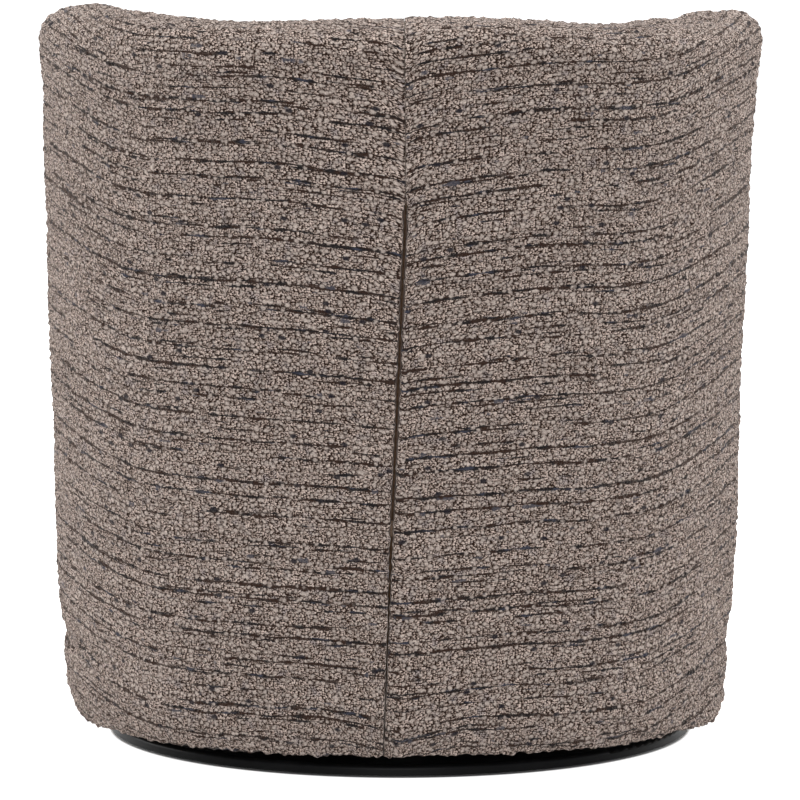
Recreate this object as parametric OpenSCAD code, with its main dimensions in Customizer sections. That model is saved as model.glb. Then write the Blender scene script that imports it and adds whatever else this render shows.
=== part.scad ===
// Swivel glider tub chair: an upholstered barrel on four hanging links over a ball bearing disc base.
// Millimetres. The origin is on the floor at the swivel axis, +Z is up and the sitter faces -Y.

/* [Body outline] */
// Width over the sides, just above the hem
body_w = 686; // [620:1:760]
// From the swivel axis to the outside of the back, at the hem
back_reach = 322; // [290:1:360]
// From the swivel axis to where the round arm fronts begin
arm_reach = 280; // [262:1:292]
// How far past the arms the curve that they follow would close
front_round = 95; // [80:1:115]
// Height of the rim over the floor
rim_h = 755; // [690:1:830]
// How far the arms fall below the rim towards their fronts
arm_drop = 131; // [90:1:160]
// How far the rim falls from the back towards the sides
side_drop = 5; // [0:1:16]
// Height of the hem over the floor
hem_h = 24; // [20:1:32]
// How far the sides lean out from hem to rim
side_lean = 25; // [10:1:40]
// How far the back leans out from hem to rim
back_lean = 38; // [20:1:55]
// Thickness of the padded wall
wall_t = 100; // [92:1:112]
// Height of the rounded rim
crown_h = 36; // [28:1:44]
// How far the rounded rim stands proud of the wall
rim_bulge = 4; // [0:1:8]
// Roundness of the back corners at the rim, 2 is an ellipse and more is squarer
back_power = 2.5; // [2.2:0.1:3.2]
// Roundness of the back corners at the hem
hem_power = 2.2; // [2:0.1:2.8]
// Roundness of the curve at the arms
front_power = 5; // [4:0.5:7]

/* [Upholstery] */
// Thickness of the woven cover
cover_t = 2.5; // [2:0.1:3.2]
// Thickness of the padding under the outside cover
pad_t = 11.7; // [9:0.1:14]
// Thickness of the bent fibreboard liner
liner_t = 3; // [2:0.5:4]
// Thickness of the foam inside the back and arms
inside_foam_t = 34; // [26:1:38]
// Running clearance between soft pieces
soft_gap = 0.3; // [0.2:0.05:0.5]
// How far the cover tucks in at the hem
hem_tuck = 10; // [6:1:14]
// Height over which the cover tucks in
hem_tuck_h = 36; // [28:1:44]
// Height of the deck that the cushion lies on
deck_h = 328; // [318:1:345]
// Thickness of the seat cushion at its middle
cushion_t = 130; // [100:1:150]
// Gap between the cushion and the arms at the deck
cushion_side_gap = 9.4; // [5:0.2:20]
// Gap between the cushion and the back at the deck
cushion_back_gap = 11.8; // [6:0.2:30]
// How far the cushion's nose stands past the point where the arm fronts begin
cushion_nose = 81; // [70:1:92]

/* [Back zip] */
// Height of the lower end of the zip
zip_low_h = 252; // [220:1:290]
// From the rim down to the upper end of the zip
zip_drop = 178; // [150:1:230]
// Sideways place of the centre back seam at the rim
seam_top_x = -4.5; // [-8:0.5:4]
// Sideways place of the seam at the upper end of the zip
seam_zip_top_x = -5.8; // [-8:0.1:4]
// Sideways place of the seam at the lower end of the zip
seam_zip_low_x = 8.3; // [-4:0.1:12]
// Sideways place of the seam at the hem
seam_hem_x = 16.6; // [-4:0.1:20]
// Opening between the lips at the upper end of the zip
zip_top_slit = 4.4; // [3:0.1:5]
// Opening between the lips at the lower end of the zip
zip_low_slit = 3; // [2:0.1:4]

/* [Base] */
// Diameter of the base disc
base_d = 599; // [540:1:640]
// Thickness of the base disc
base_t = 11; // [10:0.5:14]
// Radius of the rounded top edge of the disc
base_edge_r = 5; // [3:0.5:6]
// Thickness of the floor glides
glide_t = 2; // [1.5:0.5:3]
// Diameter of the swivel plates
swivel_d = 300; // [260:1:320]
// Thickness of the swivel plates
plate_t = 3; // [2.5:0.5:4]
// Diameter of the bearing balls
ball_d = 8; // [7:0.5:9]
// Diameter of the ball circle
race_d = 260; // [220:1:270]
// Diameter of the swivel pin
swivel_pin_d = 20; // [16:1:24]

/* [Glide] */
// Length of the hanging links between their pivots
link_l = 130; // [110:1:140]
// Height of the upper pivots
pivot_h = 210; // [200:1:218]
// Half the distance between the front and rear pivots
pivot_half_span = 85; // [75:1:95]
// Greatest swing of the links to each side
glide_angle = 24; // [15:1:25]
// Diameter of the pivot pins
pivot_pin_d = 10; // [8:1:12]
// Thickness of the links
link_t = 4; // [3:0.5:5]
// Thickness of the bracket and rail plates
bracket_t = 3; // [2.5:0.5:4]
// From the middle to the inner face of the brackets
bracket_x = 165; // [150:1:168]

/* [Frame] */
// Thickness of the plywood boards
board_t = 15; // [12:1:18]
// Depth of the posts across the wall
post_depth = 36; // [28:1:37]
// Width of the posts along the wall
post_w = 30; // [24:1:40]
// Height of the seat rails
rail_h = 57; // [45:1:60]
// Thickness of the seat rails
rail_t = 25; // [20:1:30]

/* [Hidden] */
$fn = 64;
cut = 1;                      // overrun of every cut
fit = 0.2;                    // clearance of wood and metal that is slid together
run = 0.3;                    // clearance of parts that move

wall_half = wall_t / 2;
front_reach = arm_reach + front_round;
zip_top_h = rim_h - zip_drop;
pad_out = cover_t + 2 * soft_gap;         // depth of the padding's outer face under the cover's
pad_in = pad_out + pad_t;
liner_out = pad_in + soft_gap;
liner_in = liner_out + liner_t;
frame_out = liner_in + fit;               // outer limit of the wooden frame
foam_in = wall_t - cover_t - soft_gap;    // depth of the inside foam's inner face
foam_out = foam_in - inside_foam_t;
frame_in = foam_out - soft_gap;

crown_power = 2.3;
side_drop_power = 6;
arm_slope_back = 50;                      // where the arms start to fall, behind the axis
rim_wave = 3;                             // the soft wave along the back rim
rim_wave_l = 390;
rim_seam_angle = 126;                     // where the outside cover ends, past the ridge
rim_seam_gap_angle = 0.8;
bulge_h = 95;

base_top = glide_t + base_t;
ball_groove = 1;                          // depth of each ball groove
ball_play = 0.05;
plate_gap = ball_d - 2 * ball_groove;
lower_plate_top = base_top + plate_t;
upper_plate_z = lower_plate_top + plate_gap;
upper_plate_top = upper_plate_z + plate_t;
ball_z = lower_plate_top + plate_gap / 2;
ball_n = 24;
race_r = race_d / 2;
cage_w = 18;
cage_t = 1.5;
swivel_bolt_n = 6;
swivel_bolt_d = 8;
swivel_bolt_r = 90;
swivel_bolt_l = 8;
swivel_bolt_head_d = 14;
swivel_bolt_head_t = 2.5;
pin_head_d = 34;
pin_head_t = 5;
pin_nut_d = 34;
pin_nut_t = 8;
pin_flange_d = 42;
pin_flange_t = 2;
pin_end = 3;                              // how far the pin stands out of its nut
glide_n = 6;
glide_d = 38;
glide_inset = 34;
glide_r = base_d / 2 - glide_inset;
glide_stem_d = 6;
glide_stem_l = 7;

tube_s = 25;                              // side of the square cross tubes
tube_wall = 2;
tube_y = 60;
tube_top = upper_plate_top + tube_s;
carrier_bolt_d = 8;
carrier_bolt_x = 80;
carrier_bolt_head_d = 13;
carrier_bolt_head_t = 5;

spacer = 2.5;                             // gap between bracket, link and rail
link_x = bracket_x + bracket_t + spacer;
rail_plate_x = link_x + link_t + spacer;
link_w = 26;
bush_wall = 3;
bush_d = pivot_pin_d + 2 * bush_wall;
bush_lip = 2;
bush_flange_d = bush_d + 2 * bush_lip;
pivot_play = 0.08;
pivot_head_d = 16;
pivot_head_l = 4;
pivot_cap_d = 14;
pivot_cap_t = 1.4;
low_pivot_h = pivot_h - link_l;
bumper_d = 16;
bumper_reach = 64;                        // how far down the link the bumper meets it
bumper_off = link_w / 2 + bumper_d / 2 + run;
bumper_y = pivot_half_span - bumper_reach * sin(glide_angle) - bumper_off * cos(glide_angle);
bumper_z = pivot_h - bumper_reach * cos(glide_angle) + bumper_off * sin(glide_angle);
bumper_stem_d = 6;
bracket_lobe_r = 16;
bracket_foot_reach = 24;
bracket_foot_half = pivot_half_span + bracket_foot_reach;
bracket_hole_d = 52;
bracket_hole_y = 48;
bracket_hole_z = 88;
bracket_top_hole_d = 36;
bracket_top_hole_z = 186;
rail_plate_reach = 105;
rail_plate_half = pivot_half_span + rail_plate_reach;
rail_plate_drop = 20;
rail_plate_foot = low_pivot_h - rail_plate_drop;
rail_bar_h = 40;
rail_arm_w = 32;
rail_top_bar_h = 20;
rail_flange_w = 39;
deck_gap = 13;                            // from the seat board to the cushion, webbing and pad
seat_board_top = deck_h - deck_gap;
seat_board_z = seat_board_top - board_t;
rail_z = seat_board_z - rail_h;           // underside of the seat rails
rail_x = rail_plate_x + rail_flange_w - rail_t;
rail_front_reach = 68;                    // how far the seat rails reach past the glide rails
rail_back_reach = 21;
rail_front_y = -rail_plate_half - rail_front_reach;
rail_back_y = rail_plate_half + rail_back_reach;
rail_bolt_d = 6;
rail_bolt_head_d = 11;
rail_bolt_head_t = 4;
rail_bolt_l = 30;
rail_bolt_inset = 18;
rail_bolt_y = rail_plate_half - rail_bolt_inset;

bottom_board_rise = 6;
bottom_board_z = hem_h + bottom_board_rise;
bottom_board_top = bottom_board_z + board_t;
board_open_half_w = 196;
board_open_half_d = 226;
seat_open_half_w = 175;
seat_open_inset = 10;                     // board that is left inside the front rail
seat_open_back_inset = 16;
seat_open_front = rail_front_y + rail_t + seat_open_inset;
seat_open_back = rail_back_y - rail_t - seat_open_back_inset;
strap_w = 50;
strap_t = 1.5;
strap_n = 4;
strap_lap = 14;
deck_pad_gap = 1.5;
dust_cover_t = 0.8;
dust_cover_lap = 12;
inside_low = seat_board_top + soft_gap;
cushion_half_w = half_w_at(deck_h) - wall_t - cushion_side_gap;
cushion_back = back_at(deck_h) - wall_t - cushion_back_gap;
cushion_front = arm_reach + cushion_nose;

post_inset = 6;                           // board left outside each post
post_mid = frame_out + post_inset + post_depth / 2;
back_post_share = 0.42;                       // places along the wall, 0 at the seam and 2 at the arm front
side_post_share = 1.0;
arm_post_share = 1.9;
top_rail_t = 18;
rail_end_share = 1.06;                        // where the top rail ends, just past the side post
top_rail_drop = 27;
top_rail_top = rim_h - crown_h - top_rail_drop;
top_rail_z = top_rail_top - top_rail_t;
arm_rail_t = 22;
arm_rail_inset = 1;
arm_rail_w = post_depth - 2 * arm_rail_inset;
arm_rail_share = 1.84;
arm_rail_back_drop = 32;
arm_rail_front_drop = 22;
rim_foam_sink = 4;

band_sag = 56;                            // how far the front band bows out
band_gap = 1.5;
band_angle = 140;                         // where the band meets the round arm fronts
band_lap_angle = 10;
band_foam_t = 22;
band_drop = 1;
band_top = deck_h - band_drop;
band_steps = 6;
band_foam_share = 0.88;                   // the foam behind the band ends before the arm fronts
board_band_share = 0.92;
board_front_d = pad_out + band_foam_t + 2 * soft_gap;

zip_tape_t = 0.8;
zip_tape_edge = 15;
zip_tape_step = 5.5;
zip_channel = 16;                         // half width of the channel in the padding
zip_split = 0.8;                          // half the gap between the two tapes
zip_coil_w = 2.4;
zip_coil_t = 2;
zip_wing_w = 8;
zip_wing_t = 1;
zip_slider_l = 11;
zip_bridge_t = 1;
zip_stop_w = 6;
zip_stop_l = 4;
zip_end = 3;                              // height over which the slit closes at each end
zip_spare = 10;
zip_wing_out = cover_t + run;             // depths under the outer face of the cover
zip_wing_in = zip_wing_out + zip_wing_t;
zip_tape_out = zip_wing_in + run;
zip_tape_in = zip_tape_out + zip_tape_t;
zip_coil_in = zip_tape_in + zip_coil_t;
zip_back_wing_out = zip_coil_in + run;
zip_back_wing_in = zip_back_wing_out + zip_wing_t;

cushion_row_shares = [[0.40, 0.985], [0.68, 0.95], [0.87, 0.88], [0.955, 0.80], [0.985, 0.72],
    [1, 0.52], [0.985, 0.24], [0.95, 0.12], [0.87, 0.02], [0.6, 0]];
cushion_steps = 40;

seam_share = 0.000001;                        // the seam itself, still on one side of it
back_shares = [seam_share, 0.05, 0.12, 0.2, 0.28, 0.36, 0.44, 0.52, 0.6, 0.7, 0.8, 0.9];
arm_shares = [1, rail_end_share, 1.15, 1.3, 1.45, 1.6, 1.8, 2];
half_shares = concat(back_shares, arm_shares);
function mirrored(list) = concat([for (i = [len(list) - 1:-1:1]) -list[i]], list);
full_shares = mirrored(half_shares);

// The wall of the tub. A place on it is s, along the wall, and a depth w under its outer face.
function spow(v, p) = sign(v) * pow(abs(v), p);
function mix(a, b, k) = a + (b - a) * k;
function clamp01(k) = max(0, min(1, k));
function ease(k) = let (c = clamp01(k)) c * c * (3 - 2 * c);
function height_share(z) = (z - hem_h) / (rim_h - hem_h);
function half_w_at(z) = body_w / 2 + side_lean * height_share(z);
function back_at(z) = back_reach + back_lean * height_share(z);
function power_at(z) = mix(hem_power, back_power, height_share(z));
function seam_x(z) = lookup(z, [[hem_h, seam_hem_x], [zip_low_h, seam_zip_low_x],
    [zip_top_h, seam_zip_top_x], [rim_h, seam_top_x]]);

// Outer curve at height z. The back part runs from the seam to the side, the front part along the arm.
function back_angle(s, z, x0) = s > seam_share ? mix(90, 0, s) : acos(spow(x0 / half_w_at(z), power_at(z) / 2));
function curve_at(s, z, x0) = s <= 1
    ? let (a = back_angle(s, z, x0))
        [half_w_at(z) * spow(cos(a), 2 / power_at(z)), back_at(z) * spow(sin(a), 2 / power_at(z))]
    : let (y = arm_reach * (s - 1))
        [half_w_at(z) * pow(1 - pow(y / front_reach, front_power), 1 / front_power), -y];
function unit(v) = v / norm(v);
function normal_at(p, z) = let (q = p[1] > 0 ? power_at(z) : front_power,
    b = p[1] > 0 ? back_at(z) : front_reach)
    unit([spow(p[0] / half_w_at(z), q - 1) / half_w_at(z), spow(p[1] / b, q - 1) / b]);

function arm_fall(y) = ease((arm_slope_back - y) / (arm_slope_back + arm_reach));
function rim_at(p) = rim_h - arm_drop * arm_fall(p[1])
    - side_drop * pow(abs(p[0]) / half_w_at(rim_h), side_drop_power)
    + (p[1] > 0 ? rim_wave * cos(360 * p[0] / rim_wave_l) * ease(p[1] / arm_slope_back / 2) : 0);
function rim_at_s(s) = rim_at(curve_at(abs(s), rim_h, 0));
function crown_z(s) = rim_at_s(s) - crown_h;

function tuck(z) = let (k = clamp01(1 - (z - hem_h) / hem_tuck_h)) hem_tuck * k * k;
function bulge(z, s) = rim_bulge * ease(1 - (rim_at_s(s) - z) / bulge_h);

// A point at height z and depth w; x0 is where the wall starts beside the seam.
function wall_point(s, z, w, x0 = 0) = let (
    side = s < 0 ? -1 : 1,
    p = curve_at(abs(s), z, x0),
    n = normal_at(p, z),
    depth = w + tuck(z) * clamp01(1 - w / wall_half) - bulge(z, s) * (1 - w / wall_t),
    q = p - n * depth)
    [side * q[0], q[1], z];

// The same along the rounded rim: angle 0 is the outer face, 90 the ridge and 180 the inner face.
function crown_w(angle, d) = wall_half - (wall_half - d) * spow(cos(angle), 2 / crown_power);
function crown_rise(angle, d) = (crown_h - d) * pow(sin(angle), 2 / crown_power);
function crown_point(s, angle, d, x0 = 0) =
    wall_point(s, crown_z(s) + crown_rise(angle, d), crown_w(angle, d), x0);

// Heights of the rows up the outer face, as shares of the way to the crown
function row_share(z) = (z - hem_h) / (rim_h - crown_h - hem_h);
tuck_shares = [0, 0.25, 0.55, 1] * row_share(hem_h + hem_tuck_h);
zip_shares = [for (z = [zip_low_h - zip_end, zip_low_h, zip_top_h, zip_top_h + zip_end]) row_share(z)];
outer_shares = concat(tuck_shares, [mix(tuck_shares[3], zip_shares[0], 0.5)], [zip_shares[0], zip_shares[1]],
    [for (k = [1:3]) mix(zip_shares[1], zip_shares[2], k / 4)], [zip_shares[2], zip_shares[3]],
    [mix(zip_shares[3], 1, 0.5), 1]);
crown_angles = [20, 42, 66, 90, 110, rim_seam_angle];

// A closed sheet between two grids of points, built of triangles. Their diagonals turn over at the
// seam, so that both sides of the chair are alike.
function cell(a, b, c, d, flip, turned = false) = turned
    ? (flip ? [[a, d, b], [b, d, c]] : [[a, b, d], [b, c, d]])
    : (flip ? [[a, c, b], [a, d, c]] : [[a, b, c], [a, c, d]]);
module sheet_between(outer, inner, flip = false) {
    m = len(outer);
    n = len(outer[0]);
    far = m * n;
    turn = n == len(full_shares) ? len(half_shares) - 1 : 0;
    points = concat([for (r = outer) each r], [for (r = inner) each r]);
    faces = concat(
        [for (i = [0:m - 2], j = [0:n - 2])
            each cell(i * n + j, i * n + j + 1, (i + 1) * n + j + 1, (i + 1) * n + j, flip, j < turn)],
        [for (i = [0:m - 2], j = [0:n - 2])
            each cell(far + i * n + j, far + i * n + j + 1, far + (i + 1) * n + j + 1,
                far + (i + 1) * n + j, !flip, j < turn)],
        [for (j = [0:n - 2]) each cell(j, far + j, far + j + 1, j + 1, flip)],
        [for (j = [0:n - 2]) each cell((m - 1) * n + j, far + (m - 1) * n + j,
            far + (m - 1) * n + j + 1, (m - 1) * n + j + 1, !flip)],
        [for (i = [0:m - 2]) each cell(i * n, (i + 1) * n, far + (i + 1) * n, far + i * n, flip)],
        [for (i = [0:m - 2]) each cell(i * n + n - 1, (i + 1) * n + n - 1,
            far + (i + 1) * n + n - 1, far + i * n + n - 1, !flip)]);
    polyhedron(points, faces, convexity = 8);
}

// A closed body of rings with a point at each end
module body_of_rings(first, rings, last) {
    n = len(rings[0]);
    m = len(rings);
    points = concat([first], [for (r = rings) each r], [last]);
    end = len(points) - 1;
    faces = concat(
        [for (j = [0:n - 1]) [0, 1 + j, 1 + (j + 1) % n]],
        [for (i = [0:m - 2], j = [0:n - 1])
            each cell(1 + i * n + j, 1 + (i + 1) * n + j, 1 + (i + 1) * n + (j + 1) % n,
                1 + i * n + (j + 1) % n, false)],
        [for (j = [0:n - 1]) [end, 1 + (m - 1) * n + (j + 1) % n, 1 + (m - 1) * n + j]]);
    polyhedron(points, faces, convexity = 4);
}

// Half the opening between the two outside covers at height z
function slit_half(z) = let (
    open = mix(zip_low_slit, zip_top_slit, (z - zip_low_h) / (zip_top_h - zip_low_h)) / 2,
    k = min(clamp01((z - zip_low_h + zip_end) / zip_end), clamp01((zip_top_h + zip_end - z) / zip_end)))
    mix(soft_gap / 2, open, k);

function outer_z(t, s) = mix(hem_h, crown_z(s), t);
function cover_rows(side, d) = concat(
    [for (t = outer_shares) [for (s = half_shares) let (z = outer_z(t, s))
        wall_point(side * s, z, d, side * seam_x(z) + slit_half(z))]],
    [for (a = crown_angles) [for (s = half_shares) let (z = crown_z(s) + crown_rise(a, d))
        crown_point(side * s, a, d, side * seam_x(z) + slit_half(z))]]);

module outside_cover(side) {
    sheet_between(cover_rows(side, 0), cover_rows(side, cover_t), side < 0);
}
module outside_cover_left() {
    color([0.47, 0.42, 0.40]) outside_cover(1);
}
module outside_cover_right() {
    color([0.47, 0.42, 0.40]) outside_cover(-1);
}

// The inside cover runs from the rim seam down to the deck in one piece.
function inside_z(k, s) = mix(crown_z(s), inside_low, k);
function inside_rows(d) = concat(
    [for (a = [rim_seam_angle + rim_seam_gap_angle, 142, 160, 180])
        [for (s = full_shares) crown_point(s, a, d)]],
    [for (k = [0.33, 0.66, 1]) [for (s = full_shares) wall_point(s, inside_z(k, s), wall_t - d)]]);
module inside_cover() {
    color([0.47, 0.42, 0.40]) sheet_between(inside_rows(0), inside_rows(cover_t));
}

// Rounded arm fronts: the wall's section turned half round about its middle. Below the deck they
// stop at the front band, and above it they go round to the inside cover.
arm_front_angles = [1, 22, 45, 67.5, 90, 112.5, 135, 158, 179];
function arm_front_angle(a, z) = z < deck_h ? a * (band_angle + band_lap_angle) / 180 : a;
function arm_front_point(side, angle, z, d, rise) = let (
    p = curve_at(2, z, 0),
    n = normal_at(p, z),
    forward = [n[1], -n[0]],
    centre = p - n * wall_half,
    skin = (tuck(z) * clamp01((135 - angle) / 90) - bulge(z, 2) * clamp01((90 - angle) / 90)),
    r = rise < 0 ? wall_half - d - skin : (wall_half - d) * spow(cos(rise), 2 / crown_power) - skin,
    q = centre + r * (cos(angle) * n + sin(angle) * forward))
    [side * q[0], q[1], z];
arm_front_heights = concat([for (k = [0, 0.25, 0.55, 1]) hem_h + k * hem_tuck_h],
    [mix(hem_h + hem_tuck_h, deck_h, 0.5), deck_h - cover_t, deck_h],
    [for (k = [0.33, 0.66, 1]) mix(deck_h, crown_z(2), k)]);
arm_crown_angles = [20, 42, 64, 80, 88];
function arm_front_grid(side, d) = concat(
    [for (z = arm_front_heights) [for (a = arm_front_angles)
        arm_front_point(side, arm_front_angle(a, z), z, d, -1)]],
    [for (r = arm_crown_angles) let (z = crown_z(2) + crown_rise(r, d)) [for (a = arm_front_angles)
        arm_front_point(side, a, z, d, r)]]);
module arm_front(side) {
    sheet_between(arm_front_grid(side, 0), arm_front_grid(side, cover_t), side < 0);
}
module arm_front_left() {
    color([0.47, 0.42, 0.40]) arm_front(1);
}
module arm_front_right() {
    color([0.47, 0.42, 0.40]) arm_front(-1);
}
module arm_front_pads() {
    color([0.93, 0.90, 0.82]) for (side = [-1, 1])
        sheet_between(arm_front_grid(side, pad_out), arm_front_grid(side, pad_in), side < 0);
}

// Padding under the outside cover, with a channel for the zip between its two halves
pad_top_share = 0.955;
pad_row_shares = concat(tuck_shares, [zip_shares[1], zip_shares[2], mix(zip_shares[3], 1, 0.5), pad_top_share]);
function pad_rows(side, d) = [for (t = pad_row_shares)
    [for (s = half_shares) let (z = outer_z(t, s))
        wall_point(side * s, z, d, side * seam_x(z) + zip_channel)]];
module outside_padding(side) {
    sheet_between(pad_rows(side, pad_out), pad_rows(side, pad_in), side < 0);
}
module outside_padding_left() {
    color([0.93, 0.90, 0.82]) outside_padding(1);
}
module outside_padding_right() {
    color([0.93, 0.90, 0.82]) outside_padding(-1);
}

liner_row_shares = [tuck_shares[1], tuck_shares[2], tuck_shares[3], zip_shares[1],
    mix(zip_shares[3], 1, 0.5), pad_top_share];
function liner_rows(d) = [for (t = liner_row_shares)
    [for (s = full_shares) wall_point(s, outer_z(t, s), d)]];
module outside_liner() {
    color([0.55, 0.42, 0.30]) sheet_between(liner_rows(liner_out), liner_rows(liner_in));
}

// Foam: a roll under the rim and a slab inside the back and arms
rim_foam_angles = concat([0], crown_angles, [142, 160, 180]);
function rim_foam_floor(s) = abs(s) <= 1 ? top_rail_top + soft_gap : crown_z(s) - rim_foam_sink;
module rim_foam() {
    color([0.93, 0.90, 0.82]) sheet_between(
        [for (a = rim_foam_angles) [for (s = full_shares) crown_point(s, a, pad_out)]],
        [for (a = rim_foam_angles) [for (s = full_shares)
            wall_point(s, rim_foam_floor(s), crown_w(a, pad_out))]]);
}
function inside_foam_rows(w) = [for (k = [0, 0.5, 1]) [for (s = full_shares)
    wall_point(s, mix(rim_foam_floor(s) - 2 * soft_gap, inside_low, k), w)]];
module inside_foam() {
    color([0.93, 0.90, 0.82]) sheet_between(inside_foam_rows(foam_out), inside_foam_rows(foam_in), true);
}

// The front band bows out between the arm fronts.
function band_end(z) = arm_front_point(1, band_angle, z, -band_gap, -1);
function band_point(k, z, d) = let (e = band_end(z))
    [k * (e[0] - d / 2), e[1] + d - band_sag * (1 - k * k), z];
band_shares = [for (i = [-band_steps:band_steps]) i / band_steps];
foam_shares = [for (k = band_shares) if (abs(k) < band_foam_share) k];
function band_rows(d, shares) = [for (z = [hem_h, mix(hem_h, band_top, 0.5), band_top])
    [for (k = shares) band_point(-k, z, d)]];
module front_band() {
    color([0.47, 0.42, 0.40]) sheet_between(band_rows(0, band_shares), band_rows(cover_t, band_shares));
}
module front_band_foam() {
    color([0.93, 0.90, 0.82]) sheet_between(band_rows(pad_out, foam_shares),
        band_rows(pad_out + band_foam_t, foam_shares));
}

// Outline of a board or pad at height z, w under the outer face and front_d behind the front band.
// A board in the wall also fills the arm fronts.
board_angles = [30, 60, 90, 115, 170];
function arm_front_outline(side, z, w) = w < wall_half
    ? [for (i = [0:len(board_angles) - 1])
        let (p = arm_front_point(side, board_angles[side > 0 ? i : len(board_angles) - 1 - i], z, w, -1))
        [p[0], p[1]]]
    : [];
function body_outline(z, w, front_d) = concat(
    [for (s = full_shares) let (p = wall_point(s, z, w)) [p[0], p[1]]],
    arm_front_outline(1, z, w),
    [for (k = band_shares) let (p = band_point(-k * board_band_share, z, front_d)) [p[0], p[1]]],
    arm_front_outline(-1, z, w));
module board(z, t, w) {
    translate([0, 0, z]) linear_extrude(t) polygon(body_outline(z, w, board_front_d));
}

module bottom_board() {
    color([0.80, 0.66, 0.45]) difference() {
        board(bottom_board_z, board_t, frame_out);
        translate([-board_open_half_w, -board_open_half_d, bottom_board_z - cut])
            cube([2 * board_open_half_w, 2 * board_open_half_d, board_t + 2 * cut]);
    }
}
module dust_cover() {
    color([0.12, 0.12, 0.12]) translate([0, 0, bottom_board_z - dust_cover_t]) difference() {
        linear_extrude(dust_cover_t)
            polygon(body_outline(bottom_board_z, frame_out + dust_cover_lap, board_front_d + dust_cover_lap));
        translate([-board_open_half_w, -board_open_half_d, -cut])
            cube([2 * board_open_half_w, 2 * board_open_half_d, dust_cover_t + 2 * cut]);
    }
}
module seat_board() {
    color([0.80, 0.66, 0.45]) difference() {
        board(seat_board_z, board_t, frame_out);
        translate([-seat_open_half_w, seat_open_front, seat_board_z - cut])
            cube([2 * seat_open_half_w, seat_open_back - seat_open_front, board_t + 2 * cut]);
        for (side = [-1, 1]) {
            post(side * back_post_share, top_rail_z, fit);
            post(side * side_post_share, top_rail_z, fit);
            post(side * arm_post_share, arm_post_top, fit);
        }
    }
}
module deck_pad() {
    low = seat_board_top + 2 * strap_t + soft_gap;
    color([0.93, 0.90, 0.82]) translate([0, 0, low]) linear_extrude(deck_h - soft_gap - low)
        polygon(body_outline(deck_h, wall_t + deck_pad_gap, board_front_d));
}

// Posts lean with the wall, from the bottom board to the rail above them.
arm_post_top = crown_z(arm_post_share) - arm_rail_front_drop;
function post_half_y(s) = let (n = normal_at(curve_at(s, bottom_board_top, 0), bottom_board_top))
    post_w / 2 * abs(n[0]) + post_depth / 2 * abs(n[1]);
module post(s, top, grow = 0) {
    foot = wall_point(s, bottom_board_top, post_mid);
    head = wall_point(s, top, post_mid);
    curve = curve_at(abs(s), bottom_board_top, 0);
    n = normal_at(curve, bottom_board_top);
    out = [s < 0 ? -n[0] : n[0], n[1]];
    along = [-out[1], out[0]];
    lean = head - foot;
    rise = lean[2];
    span = max(lean[0], lean[1], rise);
    intersection() {
        translate(foot) rotate([0, 0, atan2(out[1], out[0])])
            rotate([-atan2([lean[0], lean[1]] * along, rise), atan2([lean[0], lean[1]] * out, rise), 0])
            translate([-post_depth / 2 - grow, -post_w / 2 - grow, -post_w])
            cube([post_depth + 2 * grow, post_w + 2 * grow, span + 2 * post_w]);
        translate([-body_w, -body_w, bottom_board_top]) cube([2 * body_w, 2 * body_w, rise]);
    }
}
module arm_post_left() {
    color([0.80, 0.66, 0.45]) post(arm_post_share, arm_post_top);
}
module arm_post_right() {
    color([0.80, 0.66, 0.45]) post(-arm_post_share, arm_post_top);
}
module side_post_left() {
    color([0.80, 0.66, 0.45]) post(side_post_share, top_rail_z);
}
module side_post_right() {
    color([0.80, 0.66, 0.45]) post(-side_post_share, top_rail_z);
}
module back_post_left() {
    color([0.80, 0.66, 0.45]) post(back_post_share, top_rail_z);
}
module back_post_right() {
    color([0.80, 0.66, 0.45]) post(-back_post_share, top_rail_z);
}

top_rail_shares = mirrored(concat(back_shares, [1, rail_end_share]));
module top_rail() {
    outer = [for (s = top_rail_shares) let (p = wall_point(s, top_rail_z, frame_out)) [p[0], p[1]]];
    inner = [for (i = [len(top_rail_shares) - 1:-1:0])
        let (p = wall_point(top_rail_shares[i], top_rail_top, frame_in)) [p[0], p[1]]];
    color([0.80, 0.66, 0.45]) translate([0, 0, top_rail_z]) linear_extrude(top_rail_t)
        polygon(concat(outer, inner));
}

// The arm rail falls from the side post to the arm post and is cut flush with both.
module arm_rail(side) {
    back = wall_point(rail_end_share, crown_z(rail_end_share) - arm_rail_back_drop, post_mid);
    front = wall_point(arm_rail_share, crown_z(arm_rail_share) - arm_rail_front_drop, post_mid);
    run_v = front - back;
    flat = norm([run_v[0], run_v[1]]);
    back_y = wall_point(side_post_share, bottom_board_top, post_mid)[1] - post_half_y(side_post_share) - fit;
    front_y = wall_point(arm_post_share, arm_post_top, post_mid)[1] + post_half_y(arm_post_share) + fit;
    mirror([side < 0 ? 1 : 0, 0, 0]) intersection() {
        translate(back) rotate([0, -atan2(run_v[2], flat), atan2(run_v[1], run_v[0])])
            translate([-post_w, -arm_rail_w / 2, -arm_rail_t])
            cube([norm(run_v) + 2 * post_w, arm_rail_w, arm_rail_t]);
        translate([0, front_y, 0]) cube([body_w, back_y - front_y, rim_h]);
    }
}
module arm_rail_left() {
    color([0.80, 0.66, 0.45]) arm_rail(1);
}
module arm_rail_right() {
    color([0.80, 0.66, 0.45]) arm_rail(-1);
}

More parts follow.
